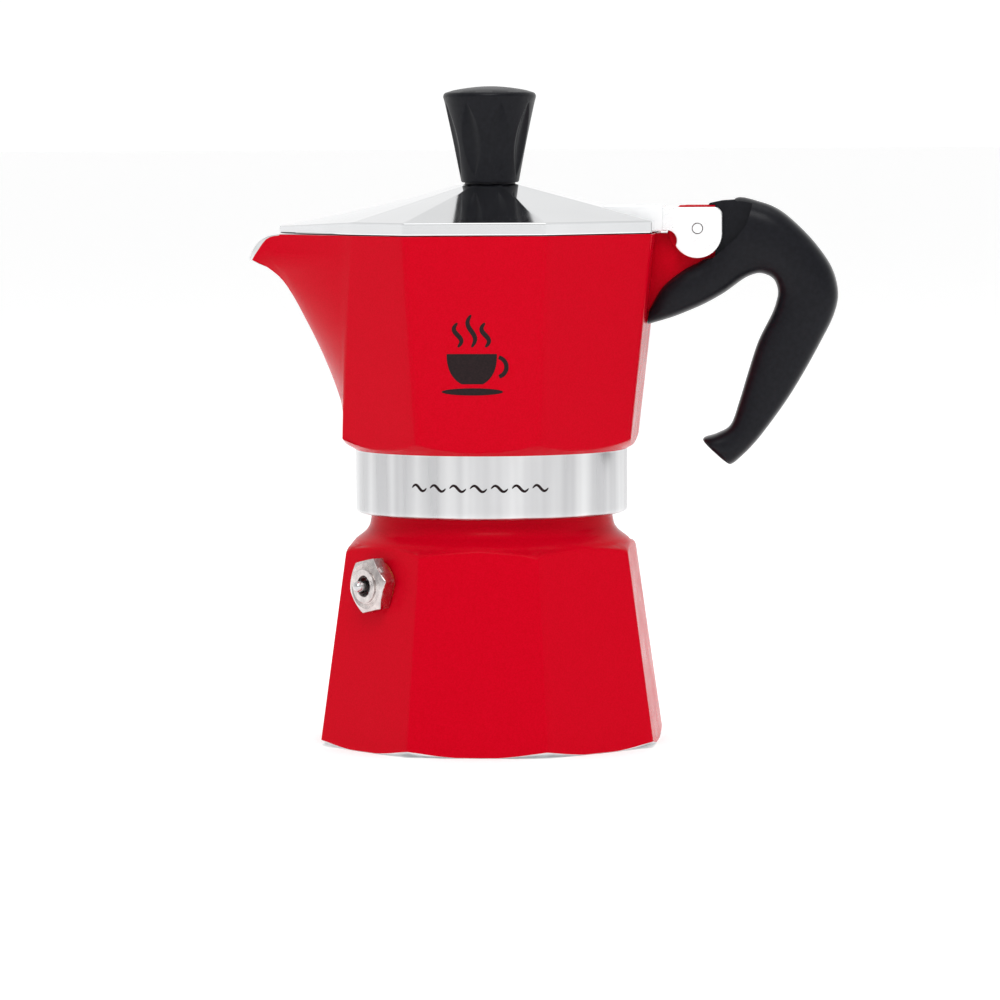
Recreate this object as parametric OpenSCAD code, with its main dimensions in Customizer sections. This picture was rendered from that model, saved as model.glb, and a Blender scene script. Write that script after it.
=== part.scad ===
// Stovetop moka pot: octagonal boiler with a safety valve, drop-in coffee funnel, gasket and
// filter plate, octagonal collector with a pouring spout, hinged lid, plastic knob and handle.
// Origin: centre of the boiler's foot. +Z up, +X towards the handle, -X towards the spout.

/* [Boiler] */
// Corner radius of the boiler's octagon at the foot
boiler_corner_r = 45.5; // [44:0.1:47]
// Height of the octagon's upper corners
shoulder_z = 48.75; // [46:0.25:50]
// Corner radius of the boiler's octagon at the shoulder
shoulder_corner_r = 38.4; // [37:0.1:39]
// Radius of the round foot, from which a low bevel runs out to the octagon's corners
foot_r = 42; // [41.5:0.1:43]
// Height of the threaded neck's top face
neck_top_z = 63.5; // [62:0.1:64]
// Radius of the neck
neck_r = 30.5; // [30:0.1:30.6]
// Radius of the neck's bore
neck_bore_r = 27.5; // [27:0.1:28]
// Thickness of the boiler's walls
boiler_wall = 3.2; // [2.5:0.1:4]
// Thickness of the boiler's floor
floor_t = 4; // [3:0.1:5]

/* [Thread] */
// Height gained in one full turn of the collector
thread_pitch = 3; // [2:0.5:4]
// Radius over the neck's thread
thread_crest_r = 31.2; // [30.8:0.1:31.2]
// Inner radius of the collector's thread
thread_minor_r = 31.45; // [31.4:0.05:31.8]

/* [Valve] */
// Height of the valve's axis
valve_z = 41.4; // [36:0.1:44]
// Direction of the valve around the pot
valve_angle = 225; // [0:45:315]
// Width of the valve's hexagon across its flats
valve_af = 12.7; // [11:0.1:14]
// Tilt of the hexagon about its own axis
valve_hex_turn = -18; // [-30:1:30]

/* [Funnel] */
// Outer radius of the coffee basket
basket_r = 26.9; // [26:0.1:27]
// Thickness of the funnel's sheet
sheet_t = 0.8; // [0.6:0.1:1]
// Height of the basket's sieve
sieve_z = 46; // [44:0.5:50]
// Height of the lower end of the stem
stem_end_z = 9; // [7:0.5:14]
// Outer radius of the stem
stem_r = 4.2; // [4:0.1:5]

/* [Collector] */
// Outer radius of the bare band
band_r = 34.3; // [34:0.1:35]
// Height of the band's lower edge
band_z = 58.1; // [57.8:0.1:58.3]
// Height of the band's upper edge
band_top_z = 74.2; // [73.8:0.1:74.3]
// Corner radius of the collector's octagon at its lower corners
jug_low_r = 39.3; // [39:0.1:40]
// Height of the octagon's lower corners
jug_low_z = 77; // [76:0.1:78]
// Corner radius of the collector's octagon at the rim
jug_top_r = 45.6; // [45:0.1:46]
// Height of the rim
jug_top_z = 128.3; // [128:0.1:128.4]
// Thickness of the collector's walls
jug_wall = 2.6; // [2:0.1:3]
// Distance of the spout's tip from the axis
spout_x = 61.8; // [60:0.1:62]
// Height of the chimney's top
chimney_top_z = 113; // [105:0.5:118]

/* [Lid and knob] */
// Height of the lid's lower edge
lid_z = 128.5; // [128.4:0.1:128.6]
// Height of the lid's vertical rim
lid_rim_h = 3; // [2.5:0.1:3.5]
// Height of the flat at the lid's centre
lid_top_z = 140.7; // [138:0.1:142]
// Distance of the lid's nose from the axis
nose_x = 53.6; // [50:0.1:54]
// Largest radius of the knob
knob_r = 11.7; // [10:0.1:13]
// Height of the knob's crown
knob_top_z = 165.2; // [160:0.1:168]
// Number of flutes around the knob
flutes = 8; // [6:1:10]

/* [Hinge] */
// Distance of the hinge pin from the pot's axis
hinge_x = 52.7; // [52.6:0.1:52.8]
// Height of the hinge pin
hinge_z = 129.4; // [129.3:0.1:129.5]
// Radius of the hinge pin
pin_r = 1.2; // [1:0.05:1.5]
// Half of the width over the lid's two ears
ear_y = 8; // [7.5:0.1:8.5]
// Half of the width between the ears
ear_inner_y = 5.2; // [5.1:0.1:5.5]
// Half of the thickness of the bracket's web and tongue
web_y = 3.6; // [3.3:0.1:4]

/* [Handle] */
// Half of the handle's width
handle_y = 7.7; // [7:0.1:8]

/* [Hidden] */
$fn = 96;

red = [0.78, 0.01, 0.05];
bare = [0.80, 0.80, 0.79];
polished = [0.86, 0.87, 0.88];
black = [0.10, 0.10, 0.11];
steel = [0.66, 0.66, 0.68];
brass = [0.75, 0.60, 0.32];
rubber = [0.88, 0.86, 0.80];

// Rates at which the two octagons open out, in radius per height
boiler_taper = (boiler_corner_r - shoulder_corner_r) / shoulder_z;
jug_taper = (jug_top_r - jug_low_r) / (jug_top_z - jug_low_z);
flat_ratio = cos(22.5);

// Thread ridges
ridge_w = 1.7;
thread_root_r = thread_crest_r - 1;
female_major_r = 32.5;
male_ridges = [for (k = [1 : -1 : 0]) neck_top_z - 1.6 - k * thread_pitch];
female_ridges = [for (k = [0 : 1]) band_z + 1 + k * thread_pitch];

// Safety valve, as distances from the pot's axis along the valve's own axis
valve_seat_d = 36.3;
valve_washer_t = 0.8;
valve_hex_d = valve_seat_d + valve_washer_t;
valve_face_d = 40.9;
valve_collar_d = 41.6;
valve_inner_d = 31;
valve_shank_r = 4.2;
valve_thread_gap = 0.05;
valve_chamber_r = 3.1;
valve_bore_r = 2.6;
valve_shoulder_d = 39.4;
valve_rod_r = 1.4;
valve_tip_d = 44.4;
valve_head_d = 33;
valve_head_t = 1;
spring_wire_r = 0.22;
spring_mean_r = 2.65;
spring_turns = 5;

// Heights of the parts clamped between the two vessels
rim_top_z = neck_top_z + sheet_t;
gasket_t = 3;
gasket_top_z = rim_top_z + gasket_t;
plate_t = 0.8;
plate_top_z = gasket_top_z + plate_t;
recess_gap = 0.05;
jug_floor_z = 75.5;

// Chimney
chimney_r = 5.5;
chimney_bore_r = 3.3;
chimney_foot_z = 72.2;

// Hinge, lid and handle
pin_clearance = 0.07;
knuckle_r = 7.6;
knuckle_y = ear_inner_y - 0.3;
cheek_y = ear_inner_y - 0.2;
cheek_x = 57;
bracket_top_z = 135.2;
ear_top_z = 134.7;
block_x0 = 29.5;
block_x1 = 44.6;
knob_foot_z = 141.05;
knob_foot_r = 7.25;
knob_rim_z = 162.8;
handle_screw_x = 56;
screw_seat_r = 3.2;
screw_seat_z = 115.2;

// Points of an arc about c, of radius r, from angle a0 to a1 in n steps
function arc(c, r, a0, a1, n) =
    [for (i = [0 : n]) let (a = a0 + (a1 - a0) * i / n) [c[0] + r * cos(a), c[1] + r * sin(a)]];

// Straight mix of a and b
function mix(a, b, t) = a + (b - a) * t;

function boiler_r(z) = boiler_corner_r - boiler_taper * z;
function jug_r(z) = jug_low_r + jug_taper * (z - jug_low_z);
function corner(r, a) = [r * cos(a), r * sin(a)];

// One half of a spout's outline at one height, from the octagon to the keel.
// r: corner radius; share: how far along the slanting face the spout starts;
// keel: distance of the keel from the axis; power: 1 gives a straight side, less a hollow one.
spout_steps = [1, 0.78, 0.58, 0.4, 0.26, 0.14, 0.06, 0.015];
function spout_side(r, share, keel, power) =
    let (p = mix(corner(r, 157.5), corner(r, 112.5), share))
    [for (t = spout_steps) [-keel + (p[0] + keel) * pow(t, power), p[1] * t]];

// Full outline at one height: octagon corners with the spout in place of the face towards -X
function outline(r, share, keel, power) =
    let (side = spout_side(r, share, keel, power), n = len(side))
    concat(
        [for (a = [22.5, 67.5, 112.5]) corner(r, a)],
        side,
        [[-keel, 0]],
        [for (i = [n - 1 : -1 : 0]) [side[i][0], -side[i][1]]],
        [for (a = [247.5, 292.5, 337.5]) corner(r, a)]
    );

// Closed solid through a list of rings of 3-D points, all with the same number of points
module loft(rings) {
    n = len(rings[0]);
    m = len(rings);
    points = [for (ring = rings) for (p = ring) p];
    bottom = [[for (i = [0 : n - 1]) i]];
    top = [[for (i = [n - 1 : -1 : 0]) (m - 1) * n + i]];
    sides = [for (k = [0 : m - 2]) for (i = [0 : n - 1]) let (
        a = k * n + i,
        b = k * n + (i + 1) % n,
        c = a + n,
        d = b + n
    ) each [[a, c, b], [b, c, d]]];
    polyhedron(points = points, faces = concat(bottom, sides, top), convexity = 6);
}

function at_height(ring, z) = [for (p = ring) [p[0], p[1], z]];

// Ring of identical holes around the axis
module hole_ring(r, count, hole_r, z0, z1) {
    for (i = [0 : count - 1])
        rotate([0, 0, 360 * i / count])
            translate([r, 0, z0])
                cylinder(r = hole_r, h = z1 - z0, $fn = 16);
}

// Perforated disc: holes in rings at an even spacing
module perforated_disc(r, z, t, spacing, rings, hole_r) {
    difference() {
        translate([0, 0, z]) cylinder(r = r, h = t);
        hole_ring(0, 1, hole_r, z - 1, z + t + 1);
        for (k = [1 : rings])
            hole_ring(k * spacing, 6 * k, hole_r, z - 1, z + t + 1);
    }
}

// Places children on the valve's axis: their +Z points out of the pot
module on_valve_axis() {
    translate([0, 0, valve_z])
        rotate([0, 0, valve_angle])
            rotate([0, 90, 0])
                children();
}

// Solid of revolution from [radius, height] points
module turned(points) {
    rotate_extrude() polygon(points);
}

// Flat outline in the XZ plane, given thickness from y0 to y1
module upright(points, y0, y1) {
    translate([0, y1, 0])
        rotate([90, 0, 0])
            linear_extrude(height = y1 - y0)
                polygon(points);
}

// Thread ridge for the outside (side = 1) or the inside (side = -1) of a wall
module ridge(z, root, crest) {
    side = crest > root ? 1 : -1;
    turned([
        [root - side * 0.5, z - ridge_w / 2],
        [crest, z - 0.3],
        [crest, z + 0.3],
        [root - side * 0.5, z + ridge_w / 2]
    ]);
}

// Turned outline of the boiler: foot, shoulder, neck and the neck's thread root
module boiler_turning() {
    turned(concat(
        [[0, 0], [foot_r, 0], [foot_r + 4, 1.6], [foot_r + 6, 6], [foot_r + 6, 36]],
        [[shoulder_corner_r + 0.9, shoulder_z - 0.6], [37, 49.9], [35.3, 50.4], [34.5, 51.3]],
        [[33.2, 52.3], [31.9, 53.4], [30.9, 55], [neck_r, 57], [neck_r, 58.8]],
        [
            [thread_root_r, 59.2], [thread_root_r, neck_top_z - 0.5],
            [thread_root_r - 0.5, neck_top_z], [0, neck_top_z]
        ]
    ));
}

module boiler() {
    color(red)
    difference() {
        union() {
            // The octagon is cut round at the foot and over the shoulder
            intersection() {
                translate([0, 0, -1])
                    rotate([0, 0, 22.5])
                        cylinder(r1 = boiler_r(-1), r2 = boiler_r(69), h = 70, $fn = 8);
                rotate([0, 0, 10]) boiler_turning();
            }
            for (z = male_ridges) ridge(z, thread_root_r, thread_crest_r);
        }
        turned(concat(
            [[0, floor_t]],
            arc([boiler_corner_r * flat_ratio - boiler_wall - 4.5, floor_t + 4], 4, -90, 0, 4),
            [[shoulder_corner_r * flat_ratio - boiler_wall, 46.5]],
            arc([neck_bore_r + 2, 52.5], 2, 200, 180, 2),
            [[neck_bore_r, neck_top_z + 1], [0, neck_top_z + 1]]
        ));
        // Flat seat and hole for the valve
        on_valve_axis() translate([0, 0, valve_seat_d]) cylinder(r = 8, h = 8);
        on_valve_axis() cylinder(r = valve_shank_r + valve_thread_gap, h = valve_seat_d + 1);
    }
}

module valve_washer() {
    color(brass)
    on_valve_axis()
        difference() {
            translate([0, 0, valve_seat_d]) cylinder(r = 6.1, h = valve_washer_t);
            cylinder(r = valve_shank_r, h = 60);
        }
}

module valve_body() {
    hex_r = valve_af / 2 / cos(30);
    color(steel)
    on_valve_axis()
        difference() {
            union() {
                // Hexagon with its outer corners turned off
                intersection() {
                    translate([0, 0, valve_hex_d])
                        rotate([0, 0, valve_hex_turn])
                            cylinder(r = hex_r, h = valve_face_d - valve_hex_d, $fn = 6);
                    turned([
                        [0, valve_hex_d], [hex_r + 1, valve_hex_d], [hex_r + 1, valve_face_d - 1.35],
                        [valve_af / 2 - 0.7, valve_face_d], [0, valve_face_d]
                    ]);
                }
                cylinder(r = 4.25, h = valve_collar_d);
            }
            translate([0, 0, -1]) cylinder(r = 20, h = valve_inner_d + 1);
            translate([0, 0, -1]) cylinder(r = valve_chamber_r, h = valve_shoulder_d + 1);
            cylinder(r = valve_bore_r, h = 60);
            difference() {
                cylinder(r = 4.3, h = valve_hex_d);
                cylinder(r = valve_shank_r, h = valve_hex_d);
            }
        }
}

// Cap in the valve's inner end, with the steam inlet
module valve_retainer() {
    color(brass)
    on_valve_axis()
        turned([
            [1.1, valve_inner_d - 0.8], [valve_shank_r, valve_inner_d - 0.8], [valve_shank_r, valve_inner_d],
            [valve_chamber_r, valve_inner_d], [valve_chamber_r, valve_inner_d + 1.2],
            [1.1, valve_inner_d + 1.2]
        ]);
}

// Coil spring between the pin's head and the shoulder in the valve's body
module valve_spring() {
    z0 = valve_head_d + valve_head_t + spring_wire_r;
    z1 = valve_shoulder_d - spring_wire_r;
    steps = spring_turns * 12;
    rings = [for (i = [0 : steps]) let (
        a = 360 * spring_turns * i / steps,
        z = mix(z0, z1, i / steps)
    ) [for (k = [0 : 7]) let (b = 45 * k, r = spring_mean_r + spring_wire_r * cos(b)) [
        r * cos(a), r * sin(a), z + spring_wire_r * sin(b)
    ]]];
    color(steel) on_valve_axis() mirror([0, 1, 0]) loft(rings);
}

module valve_seal() {
    color(rubber)
    on_valve_axis()
        translate([0, 0, valve_inner_d + 1.2])
            cylinder(r = 2.3, h = valve_head_d - valve_inner_d - 1.2);
}

module valve_pin() {
    color(steel)
    on_valve_axis()
        turned(concat(
            [[0, valve_head_d], [2.4, valve_head_d], [2.4, valve_head_d + valve_head_t]],
            [[valve_rod_r, valve_head_d + valve_head_t]],
            arc([0, valve_tip_d - valve_rod_r], valve_rod_r, 0, 90, 6)
        ));
}

// Pressed basket with its stem, in one piece
module funnel() {
    in_r = basket_r - sheet_t;
    color(bare)
    turned([
        [stem_r - 0.7, stem_end_z], [stem_r, stem_end_z], [stem_r, sieve_z - 10], [stem_r + 2, sieve_z - 7.5],
        [basket_r - 2, sieve_z - 1.4], [basket_r, sieve_z + 0.4], [basket_r, neck_top_z],
        [29.6, neck_top_z], [29.6, rim_top_z], [in_r + 0.4, rim_top_z], [in_r, rim_top_z - 0.4],
        [in_r, sieve_z], [in_r - 1.5, sieve_z], [in_r - 1.8, sieve_z - 0.6],
        [stem_r + 1.4, sieve_z - 6.9], [stem_r - 0.7, sieve_z - 9.6]
    ]);
}

module funnel_sieve() {
    color(bare) perforated_disc(basket_r - sheet_t - 0.02, sieve_z, 0.8, 5, 4, 0.9);
}

module gasket() {
    color(rubber)
    difference() {
        translate([0, 0, rim_top_z]) cylinder(r = 32.3, h = gasket_t);
        cylinder(r = 26.6, h = 100);
    }
}

module filter_plate() {
    color(bare) perforated_disc(28.8, gasket_top_z, plate_t, 5, 4, 0.8);
}

// Distance of the spout's keel from the axis, outside and inside, by height
keel_out = [
    [70, 35.4], [jug_low_z, 36.3], [84, 37.6], [91, 40], [99, 43.3], [106.5, 47],
    [114, 51.1], [117, 53.3], [118.6, 55.1], [120.2, 57.4], [121.7, spout_x], [140, spout_x]
];
keel_in = [
    [70, 32.8], [jug_low_z, 33.7], [84, 35], [91, 37.4], [99, 40.6], [106.5, 44.2],
    [114, 47.8], [118.6, 50.6], [120.2, 52.4], [121.7, 55.6], [123, spout_x - 0.8], [140, spout_x - 0.8]
];
// Shape power of the spout's sides by height
power_out = [[70, 1], [84, 1.3], [110, 1.3], [117, 1.1], [121.7, 0.9], [140, 0.9]];
power_in = [[70, 1], [84, 1.3], [110, 1.3], [117, 1.05], [121.7, 0.75], [140, 0.7]];

function spout_share(z) = 0.01 + 0.395 * max(0, z - jug_low_z) / (jug_top_z - jug_low_z);
function jug_ring(z, inset, keel, power) =
    at_height(outline(jug_r(z) - inset / flat_ratio, spout_share(z), lookup(z, keel), lookup(z, power)), z);

jug_levels = [70, jug_low_z, 84, 91, 99, 106.5, 114, 117, 118.6, 120.2, 121.7, 123, jug_top_z];

// Outer shape of the octagonal jug with its spout
module jug_outside() {
    intersection() {
        loft([for (z = jug_levels) jug_ring(z, 0, keel_out, power_out)]);
        turned([
            [0, 70], [band_r - 1, 70], [band_r, band_top_z], [band_r + 0.6, band_top_z + 0.3],
            [36, 75], [36.6, 75.3],
            [jug_low_r + 0.9, jug_low_z + 0.55], [jug_low_r + 2, 81], [75, 100], [75, 140], [0, 140]
        ]);
    }
}

module jug_inside() {
    intersection() {
        loft([for (z = concat(jug_levels, [jug_top_z + 2])) jug_ring(z, jug_wall, keel_in, power_in)]);
        turned([
            [0, jug_floor_z + 1.5], [7, jug_floor_z + 1.5], [12, jug_floor_z], [32, jug_floor_z],
            [35.5, 77.6], [38, 82], [75, 95], [75, 140], [0, 140]
        ]);
    }
}

// Space above the spout's curled lip
module lip_cut() {
    lip = concat(
        [[-47, jug_top_z]],
        arc([-52.5, 118.9], 9.3, 95, 165, 8),
        [[-spout_x - 0.2, 121.6], [-75, 121.6], [-75, 145], [-47, 145]]
    );
    upright(lip, -30, 30);
}

// Web down the wall, with a tongue that goes into the handle
tongue = [[cheek_x, bracket_top_z], [62, bracket_top_z], [65.5, 131.5], [65.5, 124], [58, 117], [44, 108.6]];
web_outline = concat(
    [[38.9, 105.4], [41.2, jug_top_z], [44.9, jug_top_z], [45.3, 130.2], [46, 132], [48, bracket_top_z]],
    tongue
);

// Wider knuckle about the pin, cut flat on top and where the handle meets it
knuckle_outline = concat(
    [[cheek_x, bracket_top_z], [49.3, bracket_top_z]],
    arc([hinge_x, hinge_z], knuckle_r, 136, 304, 14),
    [[cheek_x, 123.2]]
);

module bracket() {
    upright(web_outline, -web_y, web_y);
    upright(knuckle_outline, -knuckle_y, knuckle_y);
}

module collector() {
    color(red)
    difference() {
        union() {
            difference() {
                jug_outside();
                jug_inside();
                lip_cut();
            }
            bracket();
            turned([
                [31, band_z], [band_r - 0.8, band_z], [band_r, band_z + 0.8],
                [band_r, band_top_z], [31, band_top_z]
            ]);
        }
        // Threaded socket, gasket recess, filter recess and rising chamber
        difference() {
            turned([
                [0, 50], [female_major_r, 50], [female_major_r + 0.1, gasket_top_z + recess_gap],
                [29.1, gasket_top_z + recess_gap], [29.1, plate_top_z + recess_gap],
                [26, plate_top_z + recess_gap], [25, 71.6], [0, 71.6]
            ]);
            for (z = female_ridges) ridge(z, female_major_r, thread_minor_r);
        }
        translate([0, 0, 60]) cylinder(r = chimney_r, h = 30);
        // Running bore for the hinge pin
        translate([hinge_x, 20, hinge_z])
            rotate([90, 0, 0])
                cylinder(r = pin_r + pin_clearance, h = 40);
        // Hole for the handle's screw, and room for its head
        translate([handle_screw_x, 0, 110]) cylinder(r = 1.55, h = 16.2);
        translate([handle_screw_x, 0, 105]) cylinder(r = screw_seat_r, h = screw_seat_z - 105);
    }
}

module chimney() {
    color(bare)
    difference() {
        turned(concat(
            [[0, chimney_foot_z], [chimney_r, chimney_foot_z], [chimney_r, 78], [4.9, 79]],
            arc([0, chimney_top_z - 4.2], 4.2, 0, 90, 6)
        ));
        turned([
            [0, 60], [chimney_bore_r + 0.8, 60], [chimney_bore_r + 0.8, chimney_foot_z], [chimney_bore_r, 76],
            [chimney_bore_r - 0.2, chimney_top_z - 5], [0, chimney_top_z - 3]
        ]);
        // Two outlets near the top, across the pot
        translate([0, 15, chimney_top_z - 6.5])
            rotate([90, 0, 0])
                cylinder(r = 1.7, h = 30);
    }
}

module hinge_pin() {
    color(steel)
    translate([hinge_x, ear_y, hinge_z])
        rotate([90, 0, 0])
            cylinder(r = pin_r, h = 2 * ear_y);
}

// Handle: sections between its upper or outer edge and its lower or inner edge,
// each [upper x, upper z, lower x, lower z, half width]
handle_sections = [
    [40.4, 109.2, 39.9, 105.3, handle_y - 2.1],
    [43.5, 114.6, 45.5, 106.9, handle_y - 0.5],
    [48.5, 118.8, 50, 108.6, handle_y],
    [54, 121.8, 54.5, 110.6, handle_y],
    [58.2, 126, 59.1, 113.2, handle_y],
    [60, 132, 63.4, 116.3, handle_y],
    [62, 136.9, 65.7, 117.5, handle_y],
    [68, 135.9, 68, 118, handle_y],
    [72.6, 134, 70.2, 117.4, handle_y - 0.1],
    [77, 130.5, 71.5, 116.4, handle_y - 0.2],
    [82, 125.2, 72.2, 115, handle_y - 0.3],
    [86, 119.2, 72.5, 113.3, handle_y - 0.4],
    [87.5, 113, 72.2, 111.4, handle_y - 0.5],
    [86.4, 107.4, 71, 107.9, handle_y - 0.6],
    [83.2, 100.9, 67.6, 101.1, handle_y - 0.8],
    [79.2, 93.6, 65.1, 93.6, handle_y - 1],
    [74.6, 86.1, 62.8, 86.1, handle_y - 1.2],
    [69.1, 78.5, 60.6, 80.1, handle_y - 1.2],
    [65.5, 74.2, 57.3, 77.9, handle_y - 1],
    [62, 70.9, 54.2, 76.9, handle_y - 0.8],
    [60.6, 70, 53.6, 76.4, handle_y - 1.4]
];

// Rounded section through two edge points, flatter on the sides than a circle
function handle_ring(s) =
    let (c = [(s[0] + s[2]) / 2, (s[1] + s[3]) / 2], h = [(s[0] - s[2]) / 2, (s[1] - s[3]) / 2])
    [for (k = [0 : 19]) let (
        a = 18 * k,
        u = sign(sin(a)) * pow(abs(sin(a)), 0.75),
        v = sign(cos(a)) * pow(abs(cos(a)), 0.6)
    ) [c[0] + h[0] * u, s[4] * v, c[1] + h[1] * u]];

// Recess beside each ear, in which it swings, and the room for the knuckle between the ears
cheek_outline = [
    [45, 135.3], [66.3, 135.3], [66, 133.9], [64.9, 130.3], [62.4, 127],
    [59, 124.1], [56.4, 122], [52.7, 121.2], [45, 122.5]
];
knuckle_room = [
    [30, 135.3], [cheek_x, 135.3], [cheek_x, 122.48], [56.4, 122], [52.7, 121.2], [45, 122.5], [30, 122.5]
];

module handle() {
    color(black)
    difference() {
        union() {
            loft([for (s = handle_sections) handle_ring(s)]);
            // Cheeks up to the knuckle, and a cover over the bracket's tongue
            upright([[cheek_x, 136], [cheek_x, 121.5], [60, 119], [64, 124], [64, 136]], -cheek_y, cheek_y);
            upright([
                [55.3, bracket_top_z], [55.6, 135.7], [58.5, 136.3], [62, 136.5], [66, 134], [62, 131],
                [58, bracket_top_z]
            ], -cheek_y, cheek_y);
        }
        // Slot that fits over the bracket
        upright(concat([[30, 90], [30, bracket_top_z]], tongue, [[38.9, 105.4]]), -web_y, web_y);
        upright(knuckle_room, -cheek_y - 0.3, cheek_y + 0.3);
        upright(cheek_outline, cheek_y, 10);
        upright(cheek_outline, -10, -cheek_y);
        // Screw hole and its counterbore
        translate([handle_screw_x, 0, 100]) cylinder(r = 1.7, h = 22);
        translate([handle_screw_x, 0, 100]) cylinder(r = screw_seat_r, h = screw_seat_z - 100);
    }
}

// Screw from below, through the handle into the bracket's tongue
module handle_screw() {
    color(steel)
    translate([handle_screw_x, 0, 0])
        difference() {
            turned([
                [0, 113.4], [2.9, 113.4], [2.9, screw_seat_z], [1.5, screw_seat_z],
                [1.5, 125.4], [0.9, 126], [0, 126]
            ]);
            // Slot in the head
            translate([-4, -0.4, 113]) cube([8, 0.8, 1.4]);
        }
}

// Height of the lid's rim edge at share t of the nose's side, 0 at the tip
function nose_edge_z(t) = lid_z + 1.8 + (lid_rim_h - 1.8) * pow(t, 1.2);

lid_corner_r = jug_top_r - 0.1;
lid_share = 0.405;

// Lid ring at a given inset: the rim's upper edge falls towards the tip of the nose
function lid_outline(inset) =
    outline(lid_corner_r - inset / flat_ratio, lid_share, nose_x - inset * 1.2, 1.1);
function lid_edge(inset, drop) =
    let (ring = lid_outline(inset), n = len(spout_steps))
    [for (i = [0 : len(ring) - 1]) let (
        k = abs(i - (3 + n)),
        t = k == 0 ? 0 : k <= n ? spout_steps[n - k] : 1
    ) [ring[i][0], ring[i][1], nose_edge_z(t) - drop]];
// Ring around the flat top, with its points in line with the outline's
function lid_crown(r, z) =
    [for (p = lid_outline(0)) let (a = atan2(p[1], p[0])) [r * cos(a), r * sin(a), z]];

module lid_shell() {
    difference() {
        loft([
            at_height(lid_outline(0), lid_z),
            lid_edge(0, 0),
            lid_crown(7, lid_top_z)
        ]);
        loft([
            at_height(lid_outline(1.8), lid_z - 1),
            lid_edge(1.8, 1.3),
            lid_crown(6.5, lid_top_z - 1.7)
        ]);
    }
}

// Outline of an ear: square above, round below, hollowed towards the rim
module ear(y0, y1) {
    upright(
        concat(
            [[40, ear_top_z - 4.6], [40, ear_top_z]],
            arc([56.8, ear_top_z - 2], 2, 90, 0, 4),
            arc([52.6, 128.2], 6.2, 0, -150, 12),
            arc([44.9, 126.4], 2.6, -10, 75, 5)
        ),
        y0,
        y1
    );
}

module lid() {
    color(polished)
    difference() {
        union() {
            lid_shell();
            // Raised block that carries the ears
            upright([
                [block_x0 - 2, 133.2], [block_x0, bracket_top_z], [block_x1 - 1, bracket_top_z],
                [block_x1, 134.2], [block_x1, lid_z + 0.3], [40, lid_z + 0.3], [38.5, 131]
            ], -ear_y, ear_y);
            ear(-ear_y, -ear_inner_y);
            ear(ear_inner_y, ear_y);
            // Boss for the knob's screw
            translate([0, 0, lid_top_z - 3.6]) cylinder(r = 4.5, h = 3);
        }
        translate([hinge_x, 20, hinge_z])
            rotate([90, 0, 0])
                cylinder(r = pin_r, h = 40);
        translate([0, 0, 120]) cylinder(r = 2.1, h = 30);
    }
}

// Angle of the knob's side from the vertical
knob_lean = atan((knob_r - knob_foot_r) / (knob_rim_z - knob_foot_z));

module knob() {
    flute_r = 4;
    color(black)
    difference() {
        turned(concat(
            [[0, knob_foot_z], [knob_foot_r - 0.4, knob_foot_z], [knob_foot_r, knob_foot_z + 0.4]],
            arc([knob_r - 1, knob_rim_z + 0.2], 1, -12, 60, 4),
            [[7.5, knob_top_z - 0.75], [4, knob_top_z - 0.2], [0, knob_top_z]]
        ));
        for (i = [0 : flutes - 1])
            rotate([0, 0, 360 * i / flutes - 70])
                translate([(knob_foot_r + knob_r) / 2 + flute_r - 0.8, 0, (knob_foot_z + knob_rim_z) / 2])
                    rotate([0, knob_lean, 0])
                        cylinder(r = flute_r, h = 16, center = true);
        translate([0, 0, knob_foot_z - 1]) cylinder(r = 3.2, h = 11.5);
    }
}

// Spacer between the knob and the lid
module knob_washer() {
    color(black)
    difference() {
        translate([0, 0, lid_top_z]) cylinder(r = 6.4, h = knob_foot_z - lid_top_z);
        cylinder(r = 2.1, h = 200);
    }
}

// Threaded bush moulded into the knob
module knob_insert() {
    color(brass)
    difference() {
        translate([0, 0, knob_foot_z]) cylinder(r = 3.2, h = 10.5);
        cylinder(r = 2, h = 151);
    }
}

// Screw from inside the lid up into the knob's bush
module knob_screw() {
    color(steel)
    difference() {
        turned([
            [0, 135], [3.2, 135], [3.9, 135.7], [3.9, lid_top_z - 3.6], [2, lid_top_z - 3.6],
            [2, 149.4], [1.4, 150], [0, 150]
        ]);
        translate([-5, -0.5, 134]) cube([10, 1, 1.9]);
    }
}

boiler();
valve_washer();
valve_body();
valve_retainer();
valve_spring();
valve_seal();
valve_pin();
funnel();
funnel_sieve();
gasket();
filter_plate();
collector();
chimney();
hinge_pin();
handle();
handle_screw();
lid();
knob();
knob_washer();
knob_insert();
knob_screw();
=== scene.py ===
import math

import bmesh
import bpy
import numpy as np
from mathutils import Matrix, Vector


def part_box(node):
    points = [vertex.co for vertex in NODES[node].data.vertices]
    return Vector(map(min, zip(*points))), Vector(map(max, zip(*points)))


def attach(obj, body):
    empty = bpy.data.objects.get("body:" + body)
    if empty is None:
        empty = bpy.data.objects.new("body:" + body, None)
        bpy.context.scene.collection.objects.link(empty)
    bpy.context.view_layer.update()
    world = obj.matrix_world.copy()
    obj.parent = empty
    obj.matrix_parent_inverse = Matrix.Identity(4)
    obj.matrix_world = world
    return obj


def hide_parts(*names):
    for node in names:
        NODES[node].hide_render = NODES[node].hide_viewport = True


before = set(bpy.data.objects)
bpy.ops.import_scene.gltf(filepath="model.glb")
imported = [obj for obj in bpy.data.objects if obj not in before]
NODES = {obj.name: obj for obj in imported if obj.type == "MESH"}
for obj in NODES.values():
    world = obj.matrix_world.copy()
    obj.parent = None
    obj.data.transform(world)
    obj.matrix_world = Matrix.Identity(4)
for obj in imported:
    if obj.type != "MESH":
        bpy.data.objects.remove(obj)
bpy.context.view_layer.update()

# Geometry is written in millimetres in the CAD frame, and turned into metres when a mesh is made.
MM = 0.001


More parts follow.
